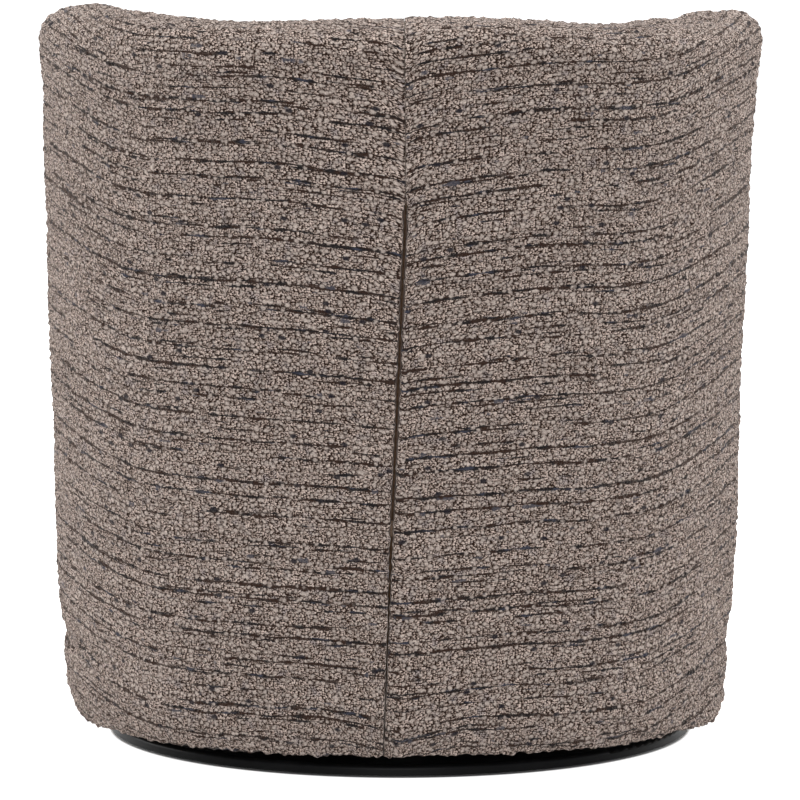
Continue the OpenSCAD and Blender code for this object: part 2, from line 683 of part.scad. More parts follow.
// Seat rails carry the seat board and stand on the flanges of the glide rails.
module side_rail(side) {
    mirror([side < 0 ? 1 : 0, 0, 0]) difference() {
        translate([rail_x, rail_front_y, rail_z]) cube([rail_t, rail_back_y - rail_front_y, rail_h]);
        for (y = [-rail_bolt_y, rail_bolt_y])
            translate([rail_x + rail_t / 2, y, rail_z - cut])
                cylinder(d = rail_bolt_d + fit, h = rail_bolt_l + cut);
    }
}
module side_rail_left() {
    color([0.80, 0.66, 0.45]) side_rail(1);
}
module side_rail_right() {
    color([0.80, 0.66, 0.45]) side_rail(-1);
}
module front_rail() {
    color([0.80, 0.66, 0.45]) translate([-rail_x, rail_front_y, rail_z]) cube([2 * rail_x, rail_t, rail_h]);
}
module back_rail() {
    color([0.80, 0.66, 0.45]) translate([-rail_x, rail_back_y - rail_t, rail_z])
        cube([2 * rail_x, rail_t, rail_h]);
}
module rail_bolts() {
    color([0.55, 0.56, 0.58]) for (side = [-1, 1], y = [-rail_bolt_y, rail_bolt_y])
        translate([side * (rail_x + rail_t / 2), y, rail_z]) {
            translate([0, 0, -bracket_t]) cylinder(d = rail_bolt_d, h = rail_bolt_l + bracket_t - cut);
            translate([0, 0, -bracket_t - rail_bolt_head_t])
                cylinder(d = rail_bolt_head_d, h = rail_bolt_head_t);
        }
}
module webbing_straps() {
    long = seat_open_back - seat_open_front;
    color([0.20, 0.19, 0.18]) {
        for (i = [0:strap_n - 1]) {
            y = seat_open_front + long * (i + 0.5) / strap_n;
            translate([-seat_open_half_w - strap_lap, y - strap_w / 2, seat_board_top])
                cube([2 * (seat_open_half_w + strap_lap), strap_w, strap_t]);
            x = -seat_open_half_w + 2 * seat_open_half_w * (i + 0.5) / strap_n;
            translate([x - strap_w / 2, seat_open_front - strap_lap, seat_board_top + strap_t])
                cube([strap_w, long + 2 * strap_lap, strap_t]);
        }
    }
}

// Seat cushion: crowned top, drawn-in seams and a nose that follows the front band
function cushion_point(a, r, z) = let (q = sin(a) >= 0 ? back_power : front_power,
    reach = sin(a) >= 0 ? cushion_back : cushion_front)
    [r * cushion_half_w * spow(cos(a), 2 / q), r * reach * spow(sin(a), 2 / q), z];
module seat_cushion() {
    low = deck_h + soft_gap;
    color([0.47, 0.42, 0.40]) body_of_rings([0, 0, low + cushion_t],
        [for (row = cushion_row_shares) [for (i = [0:cushion_steps - 1])
            cushion_point(-360 * i / cushion_steps, row[0], low + cushion_t * row[1])]],
        [0, 0, low]);
}

// Zip in the centre back seam. Its frame has Z up the seam and Y out of the back, from its lower end.
zip_rise = zip_top_h - zip_low_h;
zip_out = back_lean * zip_rise / (rim_h - hem_h);
zip_across = seam_zip_top_x - seam_zip_low_x;
zip_l = norm([zip_rise, zip_out, zip_across]);
zip_lean = atan2(zip_out, zip_rise);
zip_slant = asin(zip_across / zip_l);
zip_travel = zip_l - zip_slider_l - 2 * run;
module zip_place() {
    translate([seam_zip_low_x, back_at(zip_low_h), zip_low_h]) rotate([-zip_lean, 0, 0])
        rotate([0, zip_slant, 0]) children();
}
module zip_tapes() {
    fold = zip_wing_out + fit;
    color([0.16, 0.11, 0.09]) zip_place() for (side = [-1, 1])
        translate([0, 0, -zip_spare]) linear_extrude(zip_l + 2 * zip_spare) mirror([side < 0 ? 1 : 0, 0])
            polygon([[zip_split, -zip_tape_out], [zip_tape_step - zip_tape_t, -zip_tape_out],
                [zip_tape_step, -fold], [zip_tape_edge, -fold], [zip_tape_edge, -fold - zip_tape_t],
                [zip_tape_step + zip_tape_t, -fold - zip_tape_t], [zip_tape_step, -zip_tape_in],
                [zip_split, -zip_tape_in]]);
}
module zip_coils() {
    color([0.14, 0.10, 0.09]) zip_place() for (side = [-1, 1])
        translate([0, 0, -zip_stop_l]) linear_extrude(zip_l + 2 * zip_stop_l) mirror([side < 0 ? 1 : 0, 0])
            translate([zip_split, -zip_coil_in]) square([zip_coil_w, zip_coil_t]);
}
module zip_stops() {
    color([0.30, 0.26, 0.22]) zip_place() for (z = [-zip_stop_l, zip_l])
        translate([-zip_stop_w / 2, -zip_tape_out, z]) cube([zip_stop_w, zip_wing_t, zip_stop_l]);
}
module zip_slider() {
    color([0.30, 0.26, 0.22]) zip_place() translate([0, 0, run]) union() {
        translate([-zip_wing_w / 2, -zip_wing_in, 0]) cube([zip_wing_w, zip_wing_t, zip_slider_l]);
        translate([-zip_wing_w / 2, -zip_back_wing_in, 0]) cube([zip_wing_w, zip_wing_t, zip_slider_l]);
        translate([-zip_bridge_t / 2, -zip_back_wing_in, 0])
            cube([zip_bridge_t, zip_back_wing_in - zip_wing_out, zip_slider_l]);
    }
}

// Base disc, its floor glides and the ball bearing swivel
module on_circle(n, r) {
    for (i = [0:n - 1]) rotate([0, 0, 360 * i / n]) translate([r, 0, 0]) children();
}
module base_disc() {
    color([0.06, 0.06, 0.06]) difference() {
        translate([0, 0, glide_t]) rotate_extrude() {
            square([base_d / 2, base_t - base_edge_r]);
            square([base_d / 2 - base_edge_r, base_t]);
            translate([base_d / 2 - base_edge_r, base_t - base_edge_r]) intersection() {
                circle(r = base_edge_r);
                square(base_edge_r);
            }
        }
        translate([0, 0, glide_t - cut]) cylinder(d = pin_head_d + 2 * fit, h = cut + pin_head_t + fit);
        cylinder(d = swivel_pin_d + 2 * fit, h = base_top + cut);
        on_circle(swivel_bolt_n, swivel_bolt_r) translate([0, 0, base_top - swivel_bolt_l - fit])
            cylinder(d = swivel_bolt_d + fit, h = swivel_bolt_l + fit + cut);
        on_circle(glide_n, glide_r) translate([0, 0, glide_t - cut])
            cylinder(d = glide_stem_d + fit, h = glide_stem_l + fit + cut);
    }
}
module floor_glides() {
    color([0.10, 0.10, 0.10]) on_circle(glide_n, glide_r) {
        cylinder(d = glide_d, h = glide_t);
        cylinder(d = glide_stem_d, h = glide_t + glide_stem_l);
    }
}
module swivel_lower_plate() {
    color([0.62, 0.63, 0.65]) difference() {
        translate([0, 0, base_top]) cylinder(d = swivel_d, h = plate_t);
        translate([0, 0, base_top - cut]) cylinder(d = swivel_pin_d + 2 * fit, h = plate_t + 2 * cut);
        on_circle(swivel_bolt_n, swivel_bolt_r) translate([0, 0, base_top - cut])
            cylinder(d = swivel_bolt_d + fit, h = plate_t + 2 * cut);
        ball_track();
    }
}
module ball_track() {
    translate([0, 0, ball_z]) rotate_extrude() translate([race_r, 0]) circle(r = ball_d / 2 + ball_play);
}
module swivel_lower_bolts() {
    color([0.30, 0.30, 0.32]) on_circle(swivel_bolt_n, swivel_bolt_r) {
        translate([0, 0, lower_plate_top]) cylinder(d = swivel_bolt_head_d, h = swivel_bolt_head_t);
        translate([0, 0, base_top - swivel_bolt_l])
            cylinder(d = swivel_bolt_d, h = swivel_bolt_l + plate_t);
    }
}
module bearing_balls() {
    color([0.80, 0.81, 0.83]) on_circle(ball_n, race_r) translate([0, 0, ball_z]) sphere(d = ball_d);
}
module ball_cage() {
    color([0.85, 0.82, 0.70]) difference() {
        translate([0, 0, ball_z - cage_t / 2]) cylinder(r = race_r + cage_w / 2, h = cage_t);
        translate([0, 0, ball_z - cage_t / 2 - cut]) cylinder(r = race_r - cage_w / 2, h = cage_t + 2 * cut);
        on_circle(ball_n, race_r) translate([0, 0, ball_z - cage_t / 2 - cut])
            cylinder(d = ball_d + 2 * run, h = cage_t + 2 * cut);
    }
}
pin_top = upper_plate_top + run + pin_flange_t + pin_nut_t + pin_end;
module swivel_pin() {
    color([0.55, 0.56, 0.58]) translate([0, 0, glide_t]) {
        cylinder(d = pin_head_d, h = pin_head_t);
        cylinder(d = swivel_pin_d, h = pin_top - glide_t);
    }
}
module swivel_pin_nut() {
    color([0.45, 0.46, 0.48]) translate([0, 0, upper_plate_top + run]) difference() {
        union() {
            cylinder(d = pin_flange_d, h = pin_flange_t);
            cylinder(d = pin_nut_d, h = pin_flange_t + pin_nut_t, $fn = 6);
        }
        translate([0, 0, -cut]) cylinder(d = swivel_pin_d + fit, h = pin_flange_t + pin_nut_t + 2 * cut);
    }
}
module swivel_upper_plate() {
    color([0.62, 0.63, 0.65]) difference() {
        translate([0, 0, upper_plate_z]) cylinder(d = swivel_d, h = plate_t);
        translate([0, 0, upper_plate_z - cut])
            cylinder(d = swivel_pin_d + 2 * pivot_play, h = plate_t + 2 * cut);
        at_carrier_bolts() translate([0, 0, upper_plate_z - cut])
            cylinder(d = carrier_bolt_d + fit, h = plate_t + 2 * cut);
        ball_track();
    }
}

// Carrier: two cross tubes with an upright bracket on each side
module at_carrier_bolts() {
    for (x = [-carrier_bolt_x, carrier_bolt_x], y = [-tube_y, tube_y]) translate([x, y, 0]) children();
}
module carrier_tubes() {
    color([0.14, 0.14, 0.15]) difference() {
        for (y = [-tube_y, tube_y]) translate([-bracket_x, y - tube_s / 2, upper_plate_top])
            cube([2 * bracket_x, tube_s, tube_s]);
        for (y = [-tube_y, tube_y]) translate([-bracket_x - cut, y - tube_s / 2 + tube_wall,
            upper_plate_top + tube_wall]) cube([2 * (bracket_x + cut), tube_s - 2 * tube_wall,
            tube_s - 2 * tube_wall]);
        at_carrier_bolts() translate([0, 0, upper_plate_top - cut])
            cylinder(d = carrier_bolt_d + fit, h = tube_s + 2 * cut);
    }
}
module carrier_bolts() {
    color([0.30, 0.30, 0.32]) at_carrier_bolts() {
        translate([0, 0, upper_plate_z]) cylinder(d = carrier_bolt_d, h = tube_top - upper_plate_z);
        translate([0, 0, tube_top]) cylinder(d = carrier_bolt_head_d, h = carrier_bolt_head_t, $fn = 6);
    }
}

// Plates that stand in the YZ plane are drawn as [y, z] outlines and turned upright.
module plate_yz(x, t) {
    translate([x, 0, 0]) rotate([90, 0, 90]) linear_extrude(t) children();
}
module bar_x(x, l, y, z, d) {
    translate([x, y, z]) rotate([0, 90, 0]) cylinder(d = d, h = l);
}
module both_pivots() {
    for (y = [-pivot_half_span, pivot_half_span]) translate([y, 0]) children();
}
module bracket(side) {
    mirror([side < 0 ? 1 : 0, 0, 0]) plate_yz(bracket_x, bracket_t) difference() {
        union() {
            polygon([[-bracket_foot_half, upper_plate_top], [bracket_foot_half, upper_plate_top],
                [pivot_half_span + bracket_lobe_r, pivot_h], [-pivot_half_span - bracket_lobe_r, pivot_h]]);
            both_pivots() translate([0, pivot_h]) circle(r = bracket_lobe_r);
        }
        both_pivots() translate([0, pivot_h]) circle(d = pivot_pin_d + fit);
        for (y = [-bumper_y, bumper_y]) translate([y, bumper_z]) circle(d = bumper_stem_d + fit);
        for (y = [-bracket_hole_y, bracket_hole_y]) translate([y, bracket_hole_z]) circle(d = bracket_hole_d);
        translate([0, bracket_top_hole_z]) circle(d = bracket_top_hole_d);
    }
}
module bracket_left() {
    color([0.14, 0.14, 0.15]) bracket(1);
}
module bracket_right() {
    color([0.14, 0.14, 0.15]) bracket(-1);
}
module both_sides() {
    for (side = [0, 1]) mirror([side, 0, 0]) children();
}
module upper_pivot_pins() {
    color([0.62, 0.63, 0.65]) both_sides() for (y = [-pivot_half_span, pivot_half_span]) {
        bar_x(bracket_x - pivot_head_l, pivot_head_l, y, pivot_h, pivot_head_d);
        bar_x(bracket_x, link_x + link_t + run - bracket_x, y, pivot_h, pivot_pin_d);
        bar_x(link_x + link_t + run, pivot_cap_t, y, pivot_h, pivot_cap_d);
    }
}
module glide_bumpers() {
    color([0.08, 0.08, 0.08]) both_sides() for (y = [-bumper_y, bumper_y]) {
        bar_x(bracket_x - bracket_t, 2 * bracket_t, y, bumper_z, bumper_stem_d);
        bar_x(bracket_x + bracket_t, spacer + link_t, y, bumper_z, bumper_d);
    }
}
module link_plate(y) {
    plate_yz(link_x, link_t) difference() {
        union() {
            for (z = [low_pivot_h, pivot_h]) translate([y, z]) circle(d = link_w);
            translate([y - link_w / 2, low_pivot_h]) square([link_w, link_l]);
        }
        for (z = [low_pivot_h, pivot_h]) translate([y, z]) circle(d = bush_d);
    }
}
module front_links() {
    color([0.14, 0.14, 0.15]) both_sides() link_plate(-pivot_half_span);
}
module rear_links() {
    color([0.14, 0.14, 0.15]) both_sides() link_plate(pivot_half_span);
}
// Flanged bushes are pressed into the links; each flange faces the plate that its pin is fixed in.
module link_bushes(y) {
    flange = spacer - run;
    both_sides() {
        difference() {
            union() {
                bar_x(link_x, link_t, y, pivot_h, bush_d);
                bar_x(link_x - flange, flange, y, pivot_h, bush_flange_d);
            }
            bar_x(link_x - spacer, 2 * spacer + link_t, y, pivot_h, pivot_pin_d + 2 * pivot_play);
        }
        difference() {
            union() {
                bar_x(link_x, link_t, y, low_pivot_h, bush_d);
                bar_x(link_x + link_t, flange, y, low_pivot_h, bush_flange_d);
            }
            bar_x(link_x - spacer, 2 * spacer + link_t, y, low_pivot_h, pivot_pin_d + 2 * pivot_play);
        }
    }
}
module front_link_bushes() {
    color([0.85, 0.82, 0.70]) link_bushes(-pivot_half_span);
}
module rear_link_bushes() {
    color([0.85, 0.82, 0.70]) link_bushes(pivot_half_span);
}

// Glide rail: a window-shaped side plate with a flange under the seat rail
module glide_rail(side) {
    window_low = rail_plate_foot + rail_bar_h;
    window_high = rail_z - rail_top_bar_h;
    mirror([side < 0 ? 1 : 0, 0, 0]) {
        plate_yz(rail_plate_x, bracket_t) difference() {
            translate([-rail_plate_half, rail_plate_foot])
                square([2 * rail_plate_half, rail_z - rail_plate_foot]);
            translate([-rail_plate_half + rail_arm_w, window_low])
                square([2 * (rail_plate_half - rail_arm_w), window_high - window_low]);
            both_pivots() translate([0, low_pivot_h]) circle(d = pivot_pin_d + fit);
        }
        difference() {
            translate([rail_plate_x, -rail_plate_half, rail_z - bracket_t])
                cube([rail_flange_w, 2 * rail_plate_half, bracket_t]);
            for (y = [-rail_bolt_y, rail_bolt_y]) translate([rail_x + rail_t / 2, y, rail_z - bracket_t - cut])
                cylinder(d = rail_bolt_d + fit, h = bracket_t + 2 * cut);
        }
    }
}
module glide_rail_left() {
    color([0.14, 0.14, 0.15]) glide_rail(1);
}
module glide_rail_right() {
    color([0.14, 0.14, 0.15]) glide_rail(-1);
}
module lower_pivot_pins() {
    color([0.62, 0.63, 0.65]) both_sides() for (y = [-pivot_half_span, pivot_half_span]) {
        bar_x(link_x - run - pivot_cap_t, pivot_cap_t, y, low_pivot_h, pivot_cap_d);
        bar_x(link_x - run, rail_plate_x + bracket_t - link_x + run, y, low_pivot_h, pivot_pin_d);
        bar_x(rail_plate_x + bracket_t, pivot_head_l, y, low_pivot_h, pivot_head_d);
    }
}

base_disc();
floor_glides();
swivel_lower_plate();
swivel_lower_bolts();
bearing_balls();
ball_cage();
swivel_pin();
swivel_pin_nut();
swivel_upper_plate();
carrier_tubes();
carrier_bolts();
bracket_left();
bracket_right();
upper_pivot_pins();
glide_bumpers();
front_links();
rear_links();
front_link_bushes();
rear_link_bushes();
glide_rail_left();
glide_rail_right();
lower_pivot_pins();
rail_bolts();
side_rail_left();
side_rail_right();
front_rail();
back_rail();
bottom_board();
seat_board();
arm_post_left();
arm_post_right();
side_post_left();
side_post_right();
back_post_left();
back_post_right();
top_rail();
arm_rail_left();
arm_rail_right();
webbing_straps();
outside_liner();
outside_padding_left();
outside_padding_right();
rim_foam();
inside_foam();
arm_front_pads();
deck_pad();
front_band_foam();
dust_cover();
outside_cover_left();
outside_cover_right();
inside_cover();
arm_front_left();
arm_front_right();
front_band();
seat_cushion();
zip_tapes();
zip_coils();
zip_stops();
zip_slider();
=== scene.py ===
"""Looks of the swivel glider tub chair: tweed covers, cushion, zip, paddings, finishes, light and camera.

Lengths in the shape code are millimetres in the CAD frame; meshes are made in metres. +Z is up, the
sitter faces -Y and the photograph looks at the back from +Y. Side 1 is +X and side -1 is -X.
"""

import math

import bpy
import numpy as np
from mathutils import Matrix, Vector


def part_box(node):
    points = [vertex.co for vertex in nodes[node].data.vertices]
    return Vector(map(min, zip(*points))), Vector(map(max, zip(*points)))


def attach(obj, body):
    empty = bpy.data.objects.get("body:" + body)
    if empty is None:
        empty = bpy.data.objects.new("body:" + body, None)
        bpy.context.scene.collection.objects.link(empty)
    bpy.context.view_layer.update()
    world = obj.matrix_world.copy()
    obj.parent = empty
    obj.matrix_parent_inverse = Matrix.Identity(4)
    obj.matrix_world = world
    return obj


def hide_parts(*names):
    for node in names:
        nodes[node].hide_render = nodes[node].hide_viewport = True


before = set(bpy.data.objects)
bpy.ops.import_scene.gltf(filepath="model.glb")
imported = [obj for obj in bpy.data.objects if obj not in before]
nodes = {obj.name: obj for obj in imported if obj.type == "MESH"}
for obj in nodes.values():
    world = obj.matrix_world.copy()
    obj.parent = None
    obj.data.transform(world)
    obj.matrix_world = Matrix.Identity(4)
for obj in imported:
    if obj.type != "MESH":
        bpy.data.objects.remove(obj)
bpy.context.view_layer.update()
scene = bpy.context.scene

# ---------------------------------------------------------------- sizes, as in the CAD source
BODY_W, BACK_REACH, ARM_REACH, FRONT_REACH = 686.0, 322.0, 280.0, 375.0
RIM_H, ARM_DROP, SIDE_DROP, HEM_H = 755.0, 131.0, 5.0, 24.0
SIDE_LEAN, BACK_LEAN, WALL_T, CROWN_H, RIM_BULGE = 25.0, 38.0, 100.0, 36.0, 4.0
BACK_POWER, HEM_POWER, FRONT_POWER, CROWN_POWER = 2.5, 2.2, 5.0, 2.3
HEM_TUCK, HEM_TUCK_H, BULGE_H, SLOPE_BACK = 10.0, 36.0, 95.0, 50.0
RIM_WAVE, RIM_WAVE_L = 3.0, 390.0
DECK_H, CUSHION_T, SEAT_BOARD_TOP = 328.0, 130.0, 315.0
CUSHION_SIDE_GAP, CUSHION_BACK_GAP, CUSHION_NOSE = 9.4, 11.8, 81.0
BAND_SAG, BAND_GAP, BAND_ANGLE, BAND_LAP = 56.0, 1.5, 140.0, 10.0
ZIP_LOW, ZIP_TOP = 252.0, 577.0
SEAM = ([HEM_H, ZIP_LOW, ZIP_TOP, RIM_H], [16.6, 8.3, -5.8, -4.5])
RIM_SEAM, RIM_TUCK = 126.0, (0.3, 1.3, 3.0)
SEAM_SLIT = ([HEM_H, 60, 84, 105, 155, 212, 224, ZIP_LOW, ZIP_TOP, ZIP_TOP + 4],
             [0.2, 0.15, 0.05, 0.25, 0.45, 0.6, 1.0, 1.4, 1.7, 0.06])
PAD_OUT, PAD_IN, ROLL_DEEP = 3.1, 14.8, 2.0
PAD_TOP = 0.955  # share of the wall's height that the outside padding covers
FOAM_JOINT, FOAM_JOINT_ARM = 692.3, 4.0  # where rim foam meets inside foam: height behind, drop at the arms
INSIDE_FOAM = (63.2, 97.2)  # depths of the inside foam's two faces
DUST_HOLE = (196.0, 226.0)  # corner of the dust cover's opening for the mechanism
PLY_M = 0.003

# Each piece starts at its own place in the cloth, so that no two show the same threads.
SEAM_U, LEFT_V, INSIDE_UV, ARM_U, BAND_U = 40.0, 9.0, (2500.0, 900.0), 3300.0, 4400.0
CUSHION_TOP_U, CUSHION_SIDE_U, PIPING_U = 6000.0, 8000.0, 9000.0

SIDE_NAMES = {1: ("l", "left"), -1: ("r", "right")}


# ---------------------------------------------------------------- the wall of the tub
def spow(v, p):
    return np.sign(v) * np.abs(v) ** p


def ease(k):
    c = np.clip(k, 0, 1)
    return c * c * (3 - 2 * c)


def share(z):
    return (z - HEM_H) / (RIM_H - HEM_H)


def power(z):
    return HEM_POWER + (BACK_POWER - HEM_POWER) * share(z)


def half_w(z):
    return BODY_W / 2 + SIDE_LEAN * share(z)


def back_at(z):
    return BACK_REACH + BACK_LEAN * share(z)


def seam_x(z):
    return np.interp(z, *SEAM)


def curve(s, z, x0=0.0):
    """Outer curve at height z, for s from 0 at the seam over 1 at the side to 2 at the arm front."""
    s, z = np.broadcast_arrays(np.asarray(s, float), np.asarray(z, float))
    start = np.arccos(np.clip(spow(x0 / half_w(z), power(z) / 2), -1, 1))
    a = start * (1 - np.clip(s, 0, 1))
    y_arm = ARM_REACH * (np.maximum(s, 1) - 1)
    x_arm = half_w(z) * (1 - (y_arm / FRONT_REACH) ** FRONT_POWER) ** (1 / FRONT_POWER)
    back = s <= 1
    return (np.where(back, half_w(z) * spow(np.cos(a), 2 / power(z)), x_arm),
            np.where(back, back_at(z) * np.maximum(np.sin(a), 0) ** (2 / power(z)), -y_arm))


def normal(x, y, z):
    back = y > 0
    q = np.where(back, power(z), FRONT_POWER)
    b = np.where(back, back_at(z), FRONT_REACH)
    nx, ny = spow(x / half_w(z), q - 1) / half_w(z), spow(y / b, q - 1) / b
    length = np.hypot(nx, ny)
    return nx / length, ny / length


def rim_at(x, y):
    fall = ease((SLOPE_BACK - y) / (SLOPE_BACK + ARM_REACH))
    wave = RIM_WAVE * np.cos(2 * np.pi * x / RIM_WAVE_L) * ease(y / SLOPE_BACK / 2)
    return RIM_H - ARM_DROP * fall - SIDE_DROP * (np.abs(x) / half_w(RIM_H)) ** 6 + np.where(y > 0, wave, 0)


def crown_z(s):
    return rim_at(*curve(s, RIM_H)) - CROWN_H


# How far the real cover stands out (+) or in (-) of the even CAD wall, by height, at each side.
SIDE_OUT = {
    1: ([24, 32, 43, 54, 72, 85, 91, 97, 103, 110, 116, 122, 129, 140, 160, 180, 200, 241, 284, 325, 408, 450,
         491, 532, 574, 615, 655, 700, 760],
        [-1, 0, -.3, 0, .6, 2, 1.8, .4, -1.8, -2, 0, 2.6, 3.6, 4.2, 4.7, 5.5, 4.6, 4, 3.3, 2.6, 3.2, 2.6,
         1.8, .2, .4, -.2, -1.8, -1, -1]),
    -1: ([24, 32, 40, 48, 54, 72, 85, 91, 103, 110, 116, 122, 129, 140, 160, 180, 200, 241, 284, 325, 367,
          408, 450, 491, 532, 574, 615, 655, 700, 760],
         [-1, -2.5, -4.5, -9.3, -8.4, -7.2, -7.7, -9, -9.4, -8.8, -8.8, -6.2, -5.3, -4.7, -4.4, -4.3, -2.4,
          -3, -4.6, -4.3, -6, -5.6, -4.4, -4, -3.8, -4.4, -4, -1.9, -1, -1]),
}
# The same for the hem alone, by how far back of the middle it is.
HEM_OUT = {1: ([0, 46, 81, 115, 150, 185, 220, 260], [-1, 1, 2, 4, 3, -1, -1, 0]),
           -1: ([0, 46, 81, 115, 150, 185, 220, 260, 300], [-3, -4, -1, 6, 4, -4, -4, 0, 0])}
# The same for the height of the rim, by place across the back.
RIM_UP = ([-380, -350, -338, -320, -300, -280, -250, -205, -150, -80, 0, 150, 200, 260, 330, 380],
          [0, -1, -3.5, -9, -8, -7, -4, -4, 1.5, 1.5, 0, 0, 1, 3, 2, 1])


def stand(side, s, z):
    """How far the cover stands out of the even wall here."""
    reach = ease((np.abs(s) - 0.3) / 0.45) * (1 - ease((np.abs(s) - 1.35) / 0.6))
    hem = np.interp(curve(s, z)[1], *HEM_OUT[side]) * np.exp(-np.maximum(z - HEM_H, 0) / 14)
    return reach * np.interp(z, *SIDE_OUT[side]) + hem * ease((1.02 - s) / 0.04)


def rim_up(x, y):
    return np.interp(x, *RIM_UP) * ease((y + 60) / 160)


def tuck_and_bulge(s, z):
    """How far the wall is drawn in above the hem, and how far it stands out under the rim."""
    return (HEM_TUCK * np.clip(1 - (z - HEM_H) / HEM_TUCK_H, 0, 1) ** 2,
            RIM_BULGE * ease(1 - (crown_z(s) + CROWN_H - z) / BULGE_H))


def wall(side, s, z, depth, x0=0.0, lift=0.0):
    """Point at height z and a depth under the outer face of the wall, as in the CAD, plus lift outwards."""
    x, y = curve(s, z, x0)
    nx, ny = normal(x, y, z)
    tuck, bulge = tuck_and_bulge(s, z)
    d = depth + tuck * np.clip(1 - 2 * depth / WALL_T, 0, 1) - bulge * (1 - depth / WALL_T) - lift
    return np.stack(np.broadcast_arrays(side * (x - nx * d), y - ny * d, z), -1)


def crown(side, s, angle, depth, x0=0.0, lift=0.0):
    """Point on the rounded rim: angle 0 is the outer face, 90 the ridge and 180 the inner face."""
    a = np.radians(angle)
    half = WALL_T / 2
    w = half - (half - depth + lift) * spow(np.cos(a), 2 / CROWN_POWER)
    z = crown_z(s) + (CROWN_H - depth + lift) * np.sin(a) ** (2 / CROWN_POWER)
    p = wall(side, s, z, w, x0)
    p[..., 2] += rim_up(p[..., 0], p[..., 1]) * np.clip(np.sin(a) * 1.4, 0, 1)
    return p


def arm_end(side, angle, z, depth, rise=None):
    """Point on the round arm front; rise is the angle up its rounded top."""
    x, y = curve(2.0, z)
    nx, ny = normal(x, y, z)
    tuck, bulge = tuck_and_bulge(2.0, z)
    skin = tuck * np.clip((135 - angle) / 90, 0, 1) - bulge * np.clip((90 - angle) / 90, 0, 1)
    r = WALL_T / 2 - depth
    if rise is not None:
        r = r * np.maximum(np.cos(np.radians(rise)), 0) ** (2 / CROWN_POWER)
    r = r - skin
    a = np.radians(angle)
    cx, cy = x - nx * WALL_T / 2, y - ny * WALL_T / 2
    px = cx + r * (np.cos(a) * nx + np.sin(a) * ny)
    py = cy + r * (np.cos(a) * ny - np.sin(a) * nx)
    return np.stack(np.broadcast_arrays(side * px, py, z), -1)


def band(k, z, depth):
    """Point on the front band, for k from -1 to 1 between the arm fronts."""
    e = arm_end(1, BAND_ANGLE, z, -BAND_GAP)
    return np.stack(np.broadcast_arrays(
        k * (e[..., 0] - depth / 2), e[..., 1] + depth - BAND_SAG * (1 - k * k), z), -1)


# ---------------------------------------------------------------- noise, the same on every run
def hashed(i, j, seed):
    with np.errstate(over="ignore"):
        h = (i.astype(np.int64) * 374761393 + j.astype(np.int64) * 668265263 + seed * 1442695041) & 0xFFFFFFFF
        h = ((h ^ (h >> 13)) * 1274126177) & 0xFFFFFFFF
        return ((h ^ (h >> 16)) & 0xFFFF) / 65535.0


def noise(u, v, seed=0):
    """Smooth noise from -1 to 1 with features about one unit wide."""
    i, j = np.floor(u), np.floor(v)
    a, b = ease(u - i), ease(v - j)
    low = hashed(i, j, seed) * (1 - a) + hashed(i + 1, j, seed) * a
    high = hashed(i, j + 1, seed) * (1 - a) + hashed(i + 1, j + 1, seed) * a
    return 2 * (low * (1 - b) + high * b) - 1


def knots(u, v, seed=0, few=0.0):
    """Round bumps from 0 to 1, about one unit apart; few is the share of them that is left out."""
    best = np.zeros(np.broadcast(u, v).shape)
    i, j = np.floor(u), np.floor(v)
    for di in (-1, 0, 1):
        for dj in (-1, 0, 1):
            a, b = i + di, j + dj
            du, dv = u - a - hashed(a, b, seed), v - b - hashed(a, b, seed + 7)
            here = np.clip(1 - (du * du + dv * dv) / 0.42, 0, 1) * (hashed(a, b, seed + 13) >= few)
            best = np.maximum(best, here)
    return best


def loops(u, v):
    """Height of the tweed's loops and knots over the cover's even surface, in mm; u and v are in mm."""
    return (1.05 * knots(u / 3.8, v / 3.5, 3) + 1.9 * knots(u / 10, v / 9, 5, 0.55) ** 2
            + 0.5 * noise(u / 2.4, v / 2.4, 9) - 0.6)


# ---------------------------------------------------------------- meshes
def mesh_object(name, points, faces, uvs=None):
    mesh = bpy.data.meshes.new(name)
    points = np.asarray(points, float).reshape(-1, 3) * 0.001
    faces = np.asarray(faces, np.int32)
    n, k = faces.shape
    mesh.vertices.add(len(points))
    mesh.vertices.foreach_set("co", points.astype(np.float32).ravel())
    mesh.loops.add(n * k)
    mesh.loops.foreach_set("vertex_index", faces.ravel())
    mesh.polygons.add(n)
    mesh.polygons.foreach_set("loop_start", np.arange(0, n * k, k, dtype=np.int32))
    mesh.polygons.foreach_set("use_smooth", np.ones(n, bool))
    mesh.update(calc_edges=True)
    mesh.validate()
    if uvs is not None:
        layer = mesh.uv_layers.new(name="cloth")
        layer.data.foreach_set("uv", (np.asarray(uvs, float).reshape(-1, 2)[faces.ravel()] * 0.001)
                               .astype(np.float32).ravel())
    made = bpy.data.objects.new(name, mesh)
    scene.collection.objects.link(made)
    return made


def grid_faces(m, n, flip=False, start=0, around=False):
    """Quads over m by n points that begin at number start; around also joins the last column to the first."""
    i, j = np.meshgrid(np.arange(m - 1), np.arange(n if around else n - 1), indexing="ij")
    k = (j + 1) % n
    quads = np.stack([i * n + j, i * n + k, (i + 1) * n + k, (i + 1) * n + j], -1).reshape(-1, 4) + start
    return quads[:, ::-1] if flip else quads


def sheet(name, points, u, v, flip=False):
    """One surface through a grid of points, with its place in the cloth."""
    uvs = np.stack(np.broadcast_arrays(u, v), -1)
    return mesh_object(name, points, grid_faces(*points.shape[:2], flip), uvs)


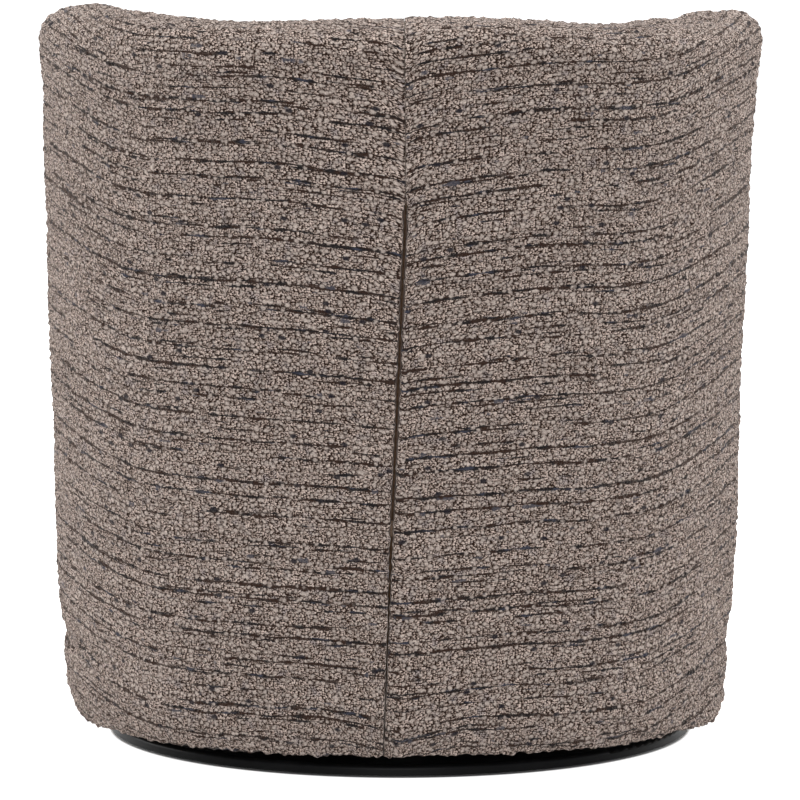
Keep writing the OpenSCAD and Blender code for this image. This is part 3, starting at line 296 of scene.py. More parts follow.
def shell(name, outer, inner, flip=False):
    """A closed body between two grids of points, with its own edges."""
    m, n = outer.shape[:2]
    far = m * n
    rim = np.concatenate([np.arange(n), np.arange(1, m) * n + n - 1,
                          (m - 1) * n + np.arange(n - 2, -1, -1), np.arange(m - 2, 0, -1) * n])
    ahead = np.roll(rim, -1)
    edges = np.stack([rim, far + rim, far + ahead, ahead], -1)
    faces = np.concatenate([grid_faces(m, n, flip), grid_faces(m, n, not flip, far),
                            edges[:, ::-1] if flip else edges])
    return mesh_object(name, np.concatenate([outer.reshape(-1, 3), inner.reshape(-1, 3)]), faces)


def surface_normals(p, flip=False):
    a, b = np.gradient(p, axis=0), np.gradient(p, axis=1)
    n = np.cross(b, a)
    n /= np.linalg.norm(n, axis=-1, keepdims=True) + 1e-9
    return -n if flip else n


def tube(path, radius, sides=8, closed=False):
    """Rings of points round a path; radius may differ from point to point."""
    p = np.asarray(path, float)
    ahead = np.roll(p, -1, 0) - np.roll(p, 1, 0)
    if not closed:
        ahead[0], ahead[-1] = p[1] - p[0], p[-1] - p[-2]
    ahead /= np.linalg.norm(ahead, axis=1, keepdims=True)
    up = np.where(np.abs(ahead[:, 2:3]) > 0.9, [[1.0, 0, 0]], [[0, 0, 1.0]])
    across = np.cross(ahead, up)
    across /= np.linalg.norm(across, axis=1, keepdims=True)
    high = np.cross(across, ahead)
    a = np.linspace(0, 2 * np.pi, sides, endpoint=False)
    r = np.broadcast_to(np.asarray(radius, float), len(p))[:, None, None]
    c, d = np.cos(a)[None, :, None], np.sin(a)[None, :, None]
    ring = p[:, None] + r * (c * across[:, None] + d * high[:, None])
    if closed:
        ring = np.concatenate([ring, ring[:1]])
    return ring


def joined(name, parts, uvs=None):
    """One mesh from several tubes."""
    faces, start = [], 0
    for part in parts:
        m, n = part.shape[:2]
        faces.append(grid_faces(m, n, True, start, around=True))
        start += m * n
    points = np.concatenate([part.reshape(-1, 3) for part in parts])
    return mesh_object(name, points, np.concatenate(faces), uvs)


def put(piece, slot, material, *stands_for):
    """The piece rides on the seat, takes its finish, and stands for the named CAD nodes."""
    piece.data.materials.clear()
    piece.data.materials.append(M[material])
    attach(piece, "seat")
    if stands_for:
        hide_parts(*stands_for)


# ---------------------------------------------------------------- materials
def rgb(r, g, b):
    """sRGB from 0 to 255 as a linear colour."""
    return tuple(c / 12.92 if c <= 0.04045 else ((c + 0.055) / 1.055) ** 2.4
                 for c in (r / 255, g / 255, b / 255)) + (1.0,)


class Value:
    """What a socket gives, in arithmetic: each operator adds one Math node."""

    def __init__(self, shader, socket):
        self.shader, self.socket = shader, socket

    def __add__(self, other):
        return self.shader.math("ADD", self, other)

    def __sub__(self, other):
        return self.shader.math("SUBTRACT", self, other)

    def __rsub__(self, other):
        return self.shader.math("SUBTRACT", other, self)

    def __mul__(self, other):
        return self.shader.math("MULTIPLY", self, other)

    def __truediv__(self, other):
        return self.shader.math("DIVIDE", self, other)


class Tree:
    """Builds the nodes of a material or the world; Values and plain values are given alike."""

    def __init__(self, owner):
        owner.use_nodes = True
        self.tree = owner.node_tree
        self.tree.nodes.clear()

    def end(self, kind, value):
        self.plug(self.tree.nodes.new("ShaderNodeOutput" + kind).inputs[0], value)

    @property
    def place(self):
        return self.add("TexCoord", out="Object")

    def add(self, kind, out=0, props=(), **sockets):
        """One node and one of its outputs; a socket is given by its name, or as i and its number."""
        n = self.tree.nodes.new("ShaderNode" + kind)
        for key, value in dict(props).items():
            setattr(n, key, value)
        for key, value in sockets.items():
            self.plug(n.inputs[int(key[1:]) if key[1:].isdigit() else key], value)
        return Value(self, n.outputs[out])

    def plug(self, socket, value):
        if isinstance(value, Value):
            self.tree.links.new(value.socket, socket)
        else:
            socket.default_value = value

    def math(self, operation, a, b=0.0, c=0.0, clamp=False):
        return self.add("Math", props={"operation": operation, "use_clamp": clamp}, i0=a, i1=b, i2=c)

    def muladd(self, a, b, c):
        """a times b, plus c."""
        return self.math("MULTIPLY_ADD", a, b, c)

    def most(self, a, b):
        return self.math("MAXIMUM", a, b)

    def away(self, a):
        """How far a is from 0."""
        return self.math("ABSOLUTE", a)

    def vector(self, x=0.0, y=0.0, z=0.0):
        return self.add("CombineXYZ", X=x, Y=y, Z=z)

    def split(self, v):
        n = self.tree.nodes.new("ShaderNodeSeparateXYZ")
        self.plug(n.inputs[0], v)
        return [Value(self, socket) for socket in n.outputs]

    def scaled(self, factors):
        """The place on the object, with a factor for each axis."""
        return self.vector(*(axis * factor for axis, factor in zip(self.split(self.place), factors)))

    def step(self, value, low, high):
        """0 below low and 1 above high, smooth between; high may be under low."""
        return self.add("MapRange", props={"interpolation_type": "SMOOTHSTEP"}, i0=value, i1=low, i2=high)

    def mix(self, share_of_b, a, b):
        return self.add("Mix", out=2, props={"data_type": "RGBA"}, i0=share_of_b, i6=a, i7=b)

    def noise(self, vector, scale, detail=2.0, rough=0.5, out=0):
        return self.add("TexNoise", out=out, Vector=vector, Scale=scale, Detail=detail, Roughness=rough)

    def cells(self, vector, scale=1.0, random=1.0, dims="2D", out=0):
        """Distance to the nearest cell's centre, or with out=1 that cell's random colour."""
        return self.add("TexVoronoi", out=out, props={"voronoi_dimensions": dims},
                        Vector=vector, Scale=scale, Randomness=random)


class Shader(Tree):
    """One material round a principled shader; what is the same all over is set on its own sockets."""

    def __init__(self, name, **uniform):
        self.material = bpy.data.materials.new(name)
        super().__init__(self.material)
        self.bsdf = self.tree.nodes.new("ShaderNodeBsdfPrincipled")
        self.end("Material", Value(self, self.bsdf.outputs[0]))
        for key, value in uniform.items():
            self.bsdf.inputs[key.replace("_", " ")].default_value = value

    def finish(self, colour, rough, height, distance, strength):
        bump = self.add("Bump", Height=height, Distance=distance, Strength=strength)
        for key, value in (("Base Color", colour), ("Roughness", rough), ("Normal", bump)):
            if value is not None:
                self.plug(self.bsdf.inputs[key], value)
        return self.material


def boucle():
    """Looped tweed: loops with pinholes between them, dark and blue-grey slubs along the weft, knots."""
    s = Shader("boucle", Roughness=0.95, Sheen_Weight=0.22, Sheen_Roughness=0.45,
               Specular_IOR_Level=0.08, Sheen_Tint=rgb(238, 224, 214))
    u, v, _ = s.split(s.add("UVMap", props={"uv_map": "cloth"}))
    flat = s.vector(u, v)
    wander = s.split(s.noise(flat, 45.0, out=1))
    mm_u, mm_v = u * 1000.0, v * 1000.0
    uneven = s.noise(flat, 900.0, 1.0, 0.6) - 0.5

    def patches(width, height):
        """The cloth's plane in patches of a width and height in mm."""
        return s.vector(mm_u * (1 / width), mm_v * (1 / height))

    def cloth(width, height, shift, pull):
        """The cloth's plane in loops of a width and height in mm, shifted and pulled about a little."""
        return s.vector(mm_u * (1 / width) + s.muladd(wander[0], pull, shift),
                        mm_v * (1 / height) + s.muladd(wander[1], pull, shift))

    # small loops with a dark ground between them; each loop ramps from the ground colour at its edge to pale
    # at its centre, painted shading of its rounded top
    at = cloth(2.2, 1.9, 0.0, 2.8)
    loop_random = s.split(s.cells(at, random=0.85, out=1))[0]
    wide = s.muladd(loop_random, 0.18, 0.4)
    small = s.step(s.muladd(uneven, 0.45, s.cells(at, random=0.85)), wide + 0.14, wide - 0.22)
    # pinholes through to the dark ground, on the loose grid of warp and weft
    at = cloth(3.1, 2.2, 40.5, 1.3)
    wide = s.muladd(s.split(s.cells(at, random=0.5, out=1))[1], 0.22, 0.06)
    small = small * s.step(s.muladd(uneven, 0.4, s.cells(at, random=0.5)), wide - 0.06, wide + 0.08)
    # round curls that stand on them in two sizes, with painted shade at their feet: the small loops in a ring
    # round each curl are darkened
    curls = []
    for width, height, shift, least, few in ((5.6, 5.0, 17.3, 0.31, 0.46), (8.2, 7.1, 61.9, 0.28, 0.54)):
        at = cloth(width, height, shift, 0.8)
        d = s.muladd(uneven, 0.22, s.cells(at))
        odd = s.split(s.cells(at, out=1))
        wide = s.muladd(odd[0], 0.1, least)
        there = s.step(odd[1], few, few + 0.05)
        curls.append((s.step(d, wide + 0.02, wide - 0.18) * there,
                      s.step(d, wide + 0.2, wide + 0.04) * there,
                      s.math("SUBTRACT", 1.0, d / wide, clamp=True) * there))
    ball, foot_shade, dome = (s.most(*sizes) for sizes in zip(*curls))
    # painted shade: the small loops at each curl's foot are drawn darker
    top = s.most(small * s.muladd(foot_shade, -0.42, 1.0), ball * s.muladd(small, 0.28, 0.72))

    def slubs(pitch, seed, length, thick, part, wave):
        """Threads along u: rows of a pitch in mm, present over stretches of about length mm."""
        way = (s.noise(s.vector(u * 11.0, v, seed), 1.0) - 0.5) * wave
        row = mm_v * (1 / pitch) + (way + seed)
        index = s.math("FLOOR", row)
        odd = s.split(s.add("TexWhiteNoise", out=1, props={"noise_dimensions": "2D"},
                            Vector=s.vector(index, seed)))
        off = s.math("FRACT", row) - s.muladd(odd[0], 0.7, 0.15)
        run = s.noise(s.vector(mm_u * (1 / length), index * 7.31, seed), 1.0, 2.0, 0.6)
        swell = s.noise(s.vector(mm_u * (1 / 13.0), index * 3.17, seed), 1.0, 1.0)
        there = s.step(run, part, part + 0.05)
        knotty = s.muladd(s.step(swell, 0.35, 0.75), 1.4, s.muladd(odd[1], 0.4, 0.3))
        half = knotty * (thick / pitch) * s.muladd(there, 0.75, 0.25)
        body = s.muladd(small - 0.6, -0.35, 1.0 - s.away(off) / half)
        return s.step(body, 0.0, 0.4) * there

    strong = slubs(21.0, 11.0, 112.0, 1.6, 0.41, 0.5)
    other = slubs(14.0, 3.0, 55.0, 1.15, 0.49, 0.6)
    thin = slubs(5.4, 37.0, 14.0, 0.55, 0.54, 0.6)
    blue = slubs(17.0, 23.0, 24.0, 1.5, 0.615, 0.5)
    dark = s.most(strong, s.most(other, thin * 0.75)) * s.muladd(curls[1][0], -0.8, 1.0)
    # dark specks, one in some of the patches
    at = patches(34.0, 21.0)
    spot = (s.step(s.muladd(uneven, 0.12, s.cells(at)), 0.135, 0.07)
            * s.step(s.split(s.cells(at, out=1))[2], 0.76, 0.78))
    # colours: loops, the ground under them, threads, specks
    light = s.mix(loop_random, rgb(150, 131, 120), rgb(212, 193, 182))
    light = s.mix(s.step(s.noise(flat, 60.0, 2.0, 0.6), 0.55, 0.7), light, rgb(170, 157, 153))
    light = s.mix(ball * 0.85, light, rgb(213, 197, 187))
    bands = s.noise(patches(260.0, 38.0), 1.0, 2.0, 0.7)
    light = s.mix(s.step(bands, 0.62, 0.38) * 0.1, light, rgb(84, 70, 62))
    colour = s.mix(top, rgb(38, 24, 17), light)
    along = s.noise(patches(24.0, 7.0), 1.0)
    thread = s.mix(s.step(along, 0.44, 0.56), rgb(50, 34, 27), rgb(27, 24, 25))
    thread = s.mix(s.step(along, 0.6, 0.68), thread, rgb(56, 58, 70))
    colour = s.mix(dark, colour, thread)
    colour = s.mix(blue * 0.8, colour, rgb(73, 73, 82))
    colour = s.mix(spot * 0.95, colour, rgb(27, 25, 33))
    # the cloth that is rolled into the centre seam is painted dark brown: painted shade of the fold
    far_u = s.away(mm_u)
    fold_shade = s.step(far_u, SEAM_U - 0.4, SEAM_U - 1.0) * s.step(far_u, SEAM_U - 8.0, SEAM_U - 6.5)
    colour = s.mix(fold_shade * 0.95, colour, rgb(24, 15, 10))
    high = s.muladd(dark, -0.3, s.muladd(small, 0.5, dome * 1.4))
    high = s.muladd(s.noise(flat, 2600.0, 1.0), 0.18, high)
    return s.finish(colour, None, high, 0.0016, 0.9)


def grainy(name, dark, pale, scale, rough, bump, detail=4.0, speck=0.0):
    """A plain finish with a grain: noise between two colours, with a little relief and maybe pores."""
    s = Shader(name)
    grain = s.noise(s.place, scale, detail, 0.6)
    wide = s.noise(s.place, 9.0)
    colour = s.mix(s.step(grain + (wide - 0.5) * 0.35, 0.3, 0.72), dark, pale)
    if speck:
        colour = s.mix(s.step(s.cells(s.place, scale * 2, dims="3D"), speck, speck * 0.6), colour, dark)
    return s.finish(colour, grain * 0.16 + (rough - 0.08), grain, bump, 0.6)


def wood(name, dark, pale, along):
    """Sawn wood: rings stretched along one axis, with pores."""
    s = Shader(name)
    scale = [60.0, 60.0, 60.0]
    scale[along] = 3.0
    at = s.scaled(scale)
    ring = s.math("FRACT", s.noise(at, 0.5, 3.0) * 7.0)
    pore = s.step(s.noise(at, 9.0, 2.0, 0.7), 0.62, 0.75)
    colour = s.mix(s.step(ring, 0.05, 0.9), dark, pale)
    return s.finish(s.mix(pore * 0.5, colour, dark), pore * 0.2 + 0.55, pore, 0.0002, 0.4)


def plywood(name):
    """Birch plywood: faces with long grain, plies that show at the cut edges."""
    s = Shader(name)
    grain = s.noise(s.scaled((4.0, 70.0, 1.0)), 1.0, 4.0, 0.6)
    ply = s.math("FRACT", s.split(s.place)[2] * (1 / PLY_M))
    across = s.step(s.away(ply - 0.5), 0.2, 0.3)
    edge = s.step(s.away(s.split(s.add("NewGeometry", out="Normal"))[2]), 0.7, 0.4)
    colour = s.mix(s.step(grain, 0.35, 0.65), rgb(196, 160, 112), rgb(222, 192, 148))
    colour = s.mix(edge * (across * 0.6), colour, rgb(142, 104, 66))
    return s.finish(colour, 0.62, grain, 0.0002, 0.4)


def metal(name, colour, rough, scale=(300, 300, 30)):
    """Metal with fine marks along one axis and duller patches."""
    s = Shader(name, Metallic=1.0)
    marks = s.noise(s.scaled(scale), 1.0, 3.0, 0.6)
    patch = s.noise(s.place, 22.0, 3.0)
    dull = tuple(c * 0.72 for c in colour[:3]) + (1.0,)
    uneven = (marks + patch) * 0.05 + (rough - 0.05)
    return s.finish(s.mix(s.step(patch, 0.4, 0.7), colour, dull), uneven, marks, 0.00005, 0.3)


def powder_coat(name, colour, rough, specular):
    """Satin black coating with a fine orange peel, rubbed a little lighter in places."""
    s = Shader(name, Specular_IOR_Level=specular)
    peel = s.noise(s.place, 700.0)
    worn = s.step(s.noise(s.place, 12.0, 4.0, 0.65), 0.52, 0.75)
    paler = tuple(c * 1.6 + 0.002 for c in colour[:3]) + (1.0,)
    return s.finish(s.mix(worn, colour, paler), worn * 0.12 + rough, peel, 0.00012, 0.35)


def woven(name, dark, pale, pitch):
    """Plain weave of flat threads, pitch in mm, on object coordinates."""
    s = Shader(name, Roughness=0.85, Sheen_Weight=0.15)
    x, y, z = s.split(s.place)
    k = 2 * math.pi / (pitch * 0.001)
    across = s.math("SINE", (x + z) * k) + 1.0
    along = s.math("SINE", (y - z) * k) + 1.0
    over = across * along * 0.25
    colour = s.mix(over * 0.8 + s.noise(s.place, 90.0) * 0.2, dark, pale)
    return s.finish(colour, None, over, 0.0004, 0.6)


M = {
    "boucle": boucle(),
    "coated": powder_coat("black_satin_coating", rgb(8, 8, 9), 0.36, 0.055),
    "black_metal": powder_coat("black_painted_steel", rgb(30, 30, 31), 0.45, 0.11),
    "zinc": metal("zinc_plated_steel", rgb(176, 178, 176), 0.36),
    "dark_steel": metal("dark_steel", rgb(92, 92, 94), 0.42),
    "bright": metal("bright_steel", rgb(206, 207, 208), 0.2),
    "antique": metal("dark_zip_metal", rgb(58, 47, 39), 0.42, scale=(900, 900, 300)),
    "nylon": grainy("white_nylon", rgb(206, 203, 194), rgb(226, 224, 217), 160.0, 0.42, 0.00005),
    "rubber": grainy("black_rubber", rgb(26, 26, 27), rgb(40, 40, 41), 420.0, 0.78, 0.0001),
    "plastic": grainy("black_plastic", rgb(24, 24, 25), rgb(36, 36, 37), 300.0, 0.5, 0.00008),
    "beech_x": wood("beech_across", rgb(170, 122, 78), rgb(205, 160, 112), 0),
    "beech_y": wood("beech_along", rgb(166, 118, 74), rgb(203, 158, 110), 1),
    "beech_z": wood("beech_upright", rgb(168, 120, 76), rgb(206, 162, 114), 2),
    "ply": plywood("birch_plywood"),
    "fibre": grainy("brown_fibreboard", rgb(104, 76, 52), rgb(140, 106, 76), 260.0, 0.8, 0.0003, speck=0.12),
    "foam": grainy("cream_foam", rgb(214, 202, 168), rgb(238, 229, 202), 240.0, 0.95, 0.0006, speck=0.16),
    "wadding": grainy("white_wadding", rgb(214, 212, 206), rgb(240, 239, 235), 70.0, 0.97, 0.0016, detail=8.0),
    "webbing": woven("brown_webbing", rgb(70, 52, 38), rgb(132, 104, 78), 2.2),
    "black_cloth": woven("black_lining", rgb(14, 14, 15), rgb(38, 38, 40), 1.1),
    "zip_cloth": woven("brown_zip_cloth", rgb(66, 48, 39), rgb(114, 90, 75), 0.9),
    "zip_plastic": grainy("brown_zip_teeth", rgb(70, 51, 41), rgb(106, 83, 69), 500.0, 0.45, 0.00004),
}

FINISHES = {
    "coated": ["base_disc"],
    "plastic": ["floor_glides"],
    "zinc": ["swivel_lower_plate", "swivel_upper_plate", "swivel_pin", "swivel_pin_nut", "swivel_lower_bolts",
             "carrier_bolts", "rail_bolts", "upper_pivot_pins", "lower_pivot_pins"],
    "bright": ["bearing_balls"],
    "nylon": ["ball_cage", "front_link_bushes", "rear_link_bushes"],
    "black_metal": ["carrier_tubes", "bracket_left", "bracket_right", "glide_rail_left", "glide_rail_right"],
    "dark_steel": ["front_links", "rear_links"],
    "rubber": ["glide_bumpers"],
    "beech_x": ["front_rail", "back_rail"],
    "beech_y": ["side_rail_left", "side_rail_right", "arm_rail_left", "arm_rail_right"],
    "beech_z": ["arm_post_left", "arm_post_right", "side_post_left", "side_post_right",
                "back_post_left", "back_post_right"],
    "ply": ["bottom_board", "seat_board", "top_rail"],
    "fibre": ["outside_liner"],
    "antique": ["zip_stops", "zip_slider"],
}
for finish, names in FINISHES.items():
    for node in names:
        nodes[node].data.materials.clear()
        nodes[node].data.materials.append(M[finish])


# ---------------------------------------------------------------- cloth coordinates
def weft_rise(s):
    """How far the weft has been pulled up round the side, in mm."""
    return np.interp(s, [0, .44, .5, .57, .64, .73, .8, .86, 1.04, 1.5, 2],
                     [0, 0, 3.5, 11, 19, 28.5, 33, 35, 34, 22, 14])


def weft_dip(x, z):
    """The weft's small V at the centre seam."""
    deep = np.interp(z, [24, 120, 300, 560, 750], [16, 7, 6, 9, 9])
    far = np.interp(z, [24, 60, 140, 300, 560, 750], [45, 70, 150, 200, 130, 130])
    return deep * np.clip(1 - np.abs(x) / far, 0, 1)


# ---------------------------------------------------------------- covers
def spaced(start, end, step):
    return np.linspace(start, end, max(2, int(round(abs(end - start) / step)) + 1))


def both_ways(step):
    """Places s from one arm front round the back to the other, from -2 to 2."""
    return np.concatenate([-spaced(0, 2, step)[::-1][:-1], spaced(0, 2, step)])


def band_turn(z):
    """How much of the arm front's turn is left at height z: under the deck the front band covers its end."""
    return np.where(z < DECK_H - 1, (BAND_ANGLE + BAND_LAP) / 180, 1.0)


def even_ends(n, ends):
    """The normals, with those of the last columns at each end like their neighbours'."""
    if ends:
        n[:, :ends], n[:, -ends:] = n[:, ends:ends + 1], n[:, -ends - 1:-ends]
    return n


def hemmed(p, side, folds, ends=0):
    """The grid with its hem turned up inside, each fold a distance in and up; and its normals."""
    n = even_ends(surface_normals(p, side > 0), ends)
    p = np.concatenate([[p[0] - n[0] * [1, 1, 0] * inward + [0, 0, up] for inward, up in folds], p])
    return p, even_ends(surface_normals(p, side > 0), ends)


def arc_of(points):
    """Length along the rows of a grid of points, or along one row of them, from the first point."""
    steps = np.linalg.norm(np.diff(points, axis=0), axis=-1)
    return np.concatenate([np.zeros((1, *steps.shape[1:])), np.cumsum(steps, 0)])


def outside_cover(side):
    short, name = SIDE_NAMES[side]
    fine = np.linspace(0, 1, 2000)
    along = arc_of(np.stack(curve(fine, 400.0), -1))
    shares = np.interp(spaced(0, along[-1], 2.3), along, fine)
    shares = np.concatenate([shares, 1 + spaced(0, 1, 3.0 / ARM_REACH)[1:]])
    heights = np.concatenate([spaced(HEM_H, 60, 2.2)[:-1], spaced(60, 719, 2.5)])
    t = (heights - HEM_H) / (heights[-1] - HEM_H)
    angles = np.concatenate([spaced(0, 60, 3.0)[1:], spaced(60, 110, 3.6)[1:],
                             spaced(110, RIM_SEAM - 2.2, 3.2)[1:], RIM_SEAM - np.array([1.1, 0.4, 0.0])])
    # at the seam the cover rolls in: shares of the roll's radius, from its hidden edge outwards
    roll_in = np.array([3.6, 2.8, 2.2, 1.6, 1.0, 0.4])
    roll_w = np.array([3.0, 1.2, 0.4, 0.1, 0.0, 0.25])
    n_roll = len(roll_in)
    s = np.concatenate([np.zeros(n_roll), shares])
    z_wall = HEM_H + t[:, None] * (crown_z(s) - HEM_H)
    z_crown = crown_z(s) + CROWN_H * np.sin(np.radians(angles))[:, None] ** (2 / CROWN_POWER)
    z_seam = np.concatenate([z_wall[:, 0], z_crown[:, 0]])
    z_seam[len(z_wall) + len(angles) // 2:] = RIM_H
    in_zip = ease((z_seam - ZIP_LOW + 4) / 5) * ease((ZIP_TOP + 4 - z_seam) / 5)
    radius = 0.28 + 0.92 * in_zip + 0.7 * (z_seam < ZIP_LOW) * (1 + 0.5 * noise(z_seam / 8, 0 * z_seam, 12))
    wavy = 1.05 * noise(z_seam / 2.8, 0 * z_seam, 14 + side) + 0.4 * noise(z_seam / 9, 0 * z_seam, 17 + side)
    slit = np.interp(z_seam, *SEAM_SLIT)
    slit = np.maximum(0.03, slit + wavy * np.minimum(1, 0.1 + slit / 1.4))
    x0 = (side * seam_x(z_seam) + slit + radius)[:, None]
    low_rows = len(z_wall)
    p = np.concatenate([
        wall(side, s, z_wall, 0.0, x0[:low_rows], stand(side, s, z_wall)),
        crown(side, s, angles[:, None], 0.0, x0[low_rows:],
              stand(side, s, 760.0) * (angles[:, None] < 90))])
    p, n = hemmed(p, side, [(9.0, 9.0), (6.0, 3.0), (4.2, 0.6), (2.6, -0.2), (1.2, 0.0)])
    radius = np.concatenate([np.full(len(p) - len(radius), radius[0]), radius])[:, None]
    # cloth coordinates
    arc = arc_of(p[150])
    u = np.concatenate([np.linspace(-6, -1, n_roll), arc[n_roll:] - arc[n_roll]])
    v = arc_of(p) + HEM_H - weft_rise(s) + weft_dip(p[..., 0], p[..., 2]) + (LEFT_V if side < 0 else 0.0)
    # soft unevenness, then the loops
    low = 0.9 * noise(u / 95 + 3 * side, v / 120, 21) + 0.5 * noise(u / 34, v / 60, 22)
    p = p + n * (low + loops(u + 500 * (side < 0), v))[..., None]
    near_hem = np.exp(-(p[..., 2] - HEM_H).clip(0) / 7)
    bumps = 0.7 * noise(u / 5, 0 * v, 24) + 1.7 * knots(u / 8, 0 * v, 25, 0.3) - 1.0
    p[..., 2] -= near_hem * bumps
    p[-3:] -= n[-3:] * np.array(RIM_TUCK)[:, None, None]
    p[:, :n_roll] = p[:, n_roll:n_roll + 1]
    # the roll goes straight in behind, and down where the rim faces up
    facing = ease((110 - np.concatenate([np.zeros(len(p) - len(angles)), angles])) / 40)
    inward = np.stack([0 * facing, facing, 1 - facing], -1)
    p[:, :n_roll] -= inward[:, None] * np.minimum(radius * roll_in, ROLL_DEEP)[..., None]
    p[:, :n_roll, 0] -= side * radius * (1 - roll_w)
    made = sheet("outside_cover_" + short, p, side * (u + SEAM_U), v, flip=side > 0)
    put(made, "boucle", "boucle", "outside_cover_" + name)


def inside_cover():
    s = np.concatenate([[-2, -2, -2], both_ways(0.0085), [2, 2, 2]])
    fold = np.zeros(len(s))
    fold[[0, 1, 2, -3, -2, -1]] = [9, 4, 1, 1, 4, 9]
    sides, a = np.sign(s) + (s == 0), np.abs(s)
    angles = np.concatenate([RIM_SEAM + np.array([0.0, 0.4, 1.1]), spaced(RIM_SEAM + 2.6, 180, 3.5)])
    k = spaced(0, 1, 4 / 390.0)[1:]
    z = crown_z(a) + k[:, None] * (SEAT_BOARD_TOP + 2 - crown_z(a))
    swell = 3.2 * np.sin(np.pi * k[:, None]) ** 0.7 * ease((2 - a) / 0.25)
    p = np.concatenate([crown(sides, a, angles[:, None], 0.0),
                        wall(sides, a, z, WALL_T + swell)])
    n = even_ends(surface_normals(p, True), 3)
    u, down = arc_of(p[60]), arc_of(p)
    v = crown_z(a) + down[len(angles)] - down
    p = p + n * (0.9 * noise(u / 80, v / 90, 31) + loops(u + 1500, v) - fold)[..., None]
    p[:3] -= n[:3] * np.array(RIM_TUCK[::-1])[:, None, None]
    made = sheet("inside_cover_cloth", p, u + INSIDE_UV[0], v + INSIDE_UV[1], flip=True)
    put(made, "boucle", "boucle", "inside_cover")


def arm_front(side):
    short, name = SIDE_NAMES[side]
    angles = np.concatenate([[0.4, 0.4], spaced(0.4, 179.6, 2.6), [179.6, 179.6]])
    fold = np.zeros(len(angles))
    fold[[0, 1, -2, -1]] = [6, 2, 2, 6]
    z = np.concatenate([spaced(HEM_H, 60, 2.4)[:-1], spaced(60, DECK_H - 4, 2.8),
                        spaced(DECK_H, float(crown_z(2.0)), 2.8)])
    turn = band_turn(z)
    rises = spaced(0, 89.0, 3.4)[1:]
    z_top = crown_z(2.0) + CROWN_H * np.sin(np.radians(rises)) ** (2 / CROWN_POWER)
    p = np.concatenate([arm_end(side, angles * turn[:, None], z[:, None], 0.0),
                        arm_end(side, angles, z_top[:, None], 0.0, rises[:, None])])
    p, n = hemmed(p, side, [(8.0, 8.0), (5.0, 2.0), (3.0, 0.2), (1.3, 0.0)], ends=2)
    u = np.radians(angles) * WALL_T / 2
    v = arc_of(p[:, 20]) + HEM_H
    edge = ease(np.minimum(angles, 180 - angles) / 5.0)
    out = loops(u + 900 * side, v[:, None]) - 1.1 * (1 - edge)
    p = p + n * (out - fold)[..., None]
    made = sheet("arm_front_cloth_" + short, p, side * (u + ARM_U), v[:, None], flip=side > 0)
    put(made, "boucle", "boucle", "arm_front_" + name)


def front_band():
    k = spaced(-1, 1, 2.8 / 270)
    z = spaced(HEM_H, DECK_H - 1, 2.8)
    p = band(-k, z[:, None], 0.0)
    hem = [band(-k, np.float64(HEM_H + h), d) for d, h in [(9.0, 8.0), (5.0, 2.0), (2.6, 0.1), (1.0, -0.2)]]
    # over the edge and back across the front of the deck, under the nose of the cushion
    back = []
    for d in np.concatenate([[1.2, 3.0, 6.0, 10.0, 15.0, 20.0], spaced(24, 92, 3.4)]):
        row = band(-k, np.float64(DECK_H - 1), d)
        narrow = (1 - (np.abs(row[:, 1]) / FRONT_REACH) ** FRONT_POWER) ** (1 / FRONT_POWER)
        inner = half_w(DECK_H) * narrow - WALL_T
        reach = np.abs(band(1.0, np.float64(DECK_H - 1), 0.0)[0])
        row[:, 0] = -k * np.minimum(reach - min(d, 24) / 2, inner + 2.5)
        row[:, 2] += 0.6 * min(1, d / 1.5) + 0.3 * ease(d / 24)
        back.append(row)
    p = np.concatenate([np.array(hem), p, np.array(back)])
    n = surface_normals(p, True)
    u, v = arc_of(p[50]), arc_of(p[:, len(k) // 2])[:, None]
    # the loops are pressed flat towards the edge that lies under the cushion
    under = np.concatenate([np.ones(len(p) - 19), np.linspace(1, 0.35, 19)])[:, None]
    p = p + n * ((0.8 * noise(u / 70, v / 90, 41) + loops(u + 2200, v)) * under)[..., None]
    made = sheet("front_band_cloth", p, u + BAND_U, v, flip=True)
    put(made, "boucle", "boucle", "front_band")


outside_cover(1)
outside_cover(-1)
inside_cover()
arm_front(1)
arm_front(-1)
front_band()


# ---------------------------------------------------------------- seat cushion
CUSHION_LOW = DECK_H + 0.3
CUSHION_ROUND = 330.0  # radius that turns an angle round the border into a length of cloth
CUSHION_NOSE_OUT = 1.022  # how much farther the filled front reaches
FILL_FRAMES, FILL_CAP_M, FILL_SIDEWAYS = 20, 0.010, 0.55
SEAMS = ((0.80, 2.6), (0.17, 2.2))  # share of the cushion's height, and how deep the seam is drawn in
PIPING_R = 2.5
FACES_UP = 0.62
# the section of the unfilled form, from the middle of the top to the underside: share of reach and of height
CUSHION_ROWS = [(0.40, 0.985), (0.68, 0.95), (0.87, 0.88), (0.955, 0.80), (0.975, 0.72), (0.985, 0.52),
                (0.975, 0.24), (0.95, 0.12), (0.87, 0.03), (0.6, 0.01)]
BORDER_ROW = 5


def cushion_rings(steps):
    a = np.linspace(0, 2 * np.pi, steps, endpoint=False)
    q = np.where(np.sin(a) >= 0, BACK_POWER, FRONT_POWER)
    half = half_w(DECK_H) - WALL_T - CUSHION_SIDE_GAP
    reach = np.where(np.sin(a) >= 0, back_at(DECK_H) - WALL_T - CUSHION_BACK_GAP, ARM_REACH + CUSHION_NOSE)
    return [np.stack([r * half * spow(np.cos(a), 2 / q), r * reach * spow(np.sin(a), 2 / q),
                      np.full(steps, CUSHION_LOW + CUSHION_T * h)], -1) for r, h in CUSHION_ROWS]


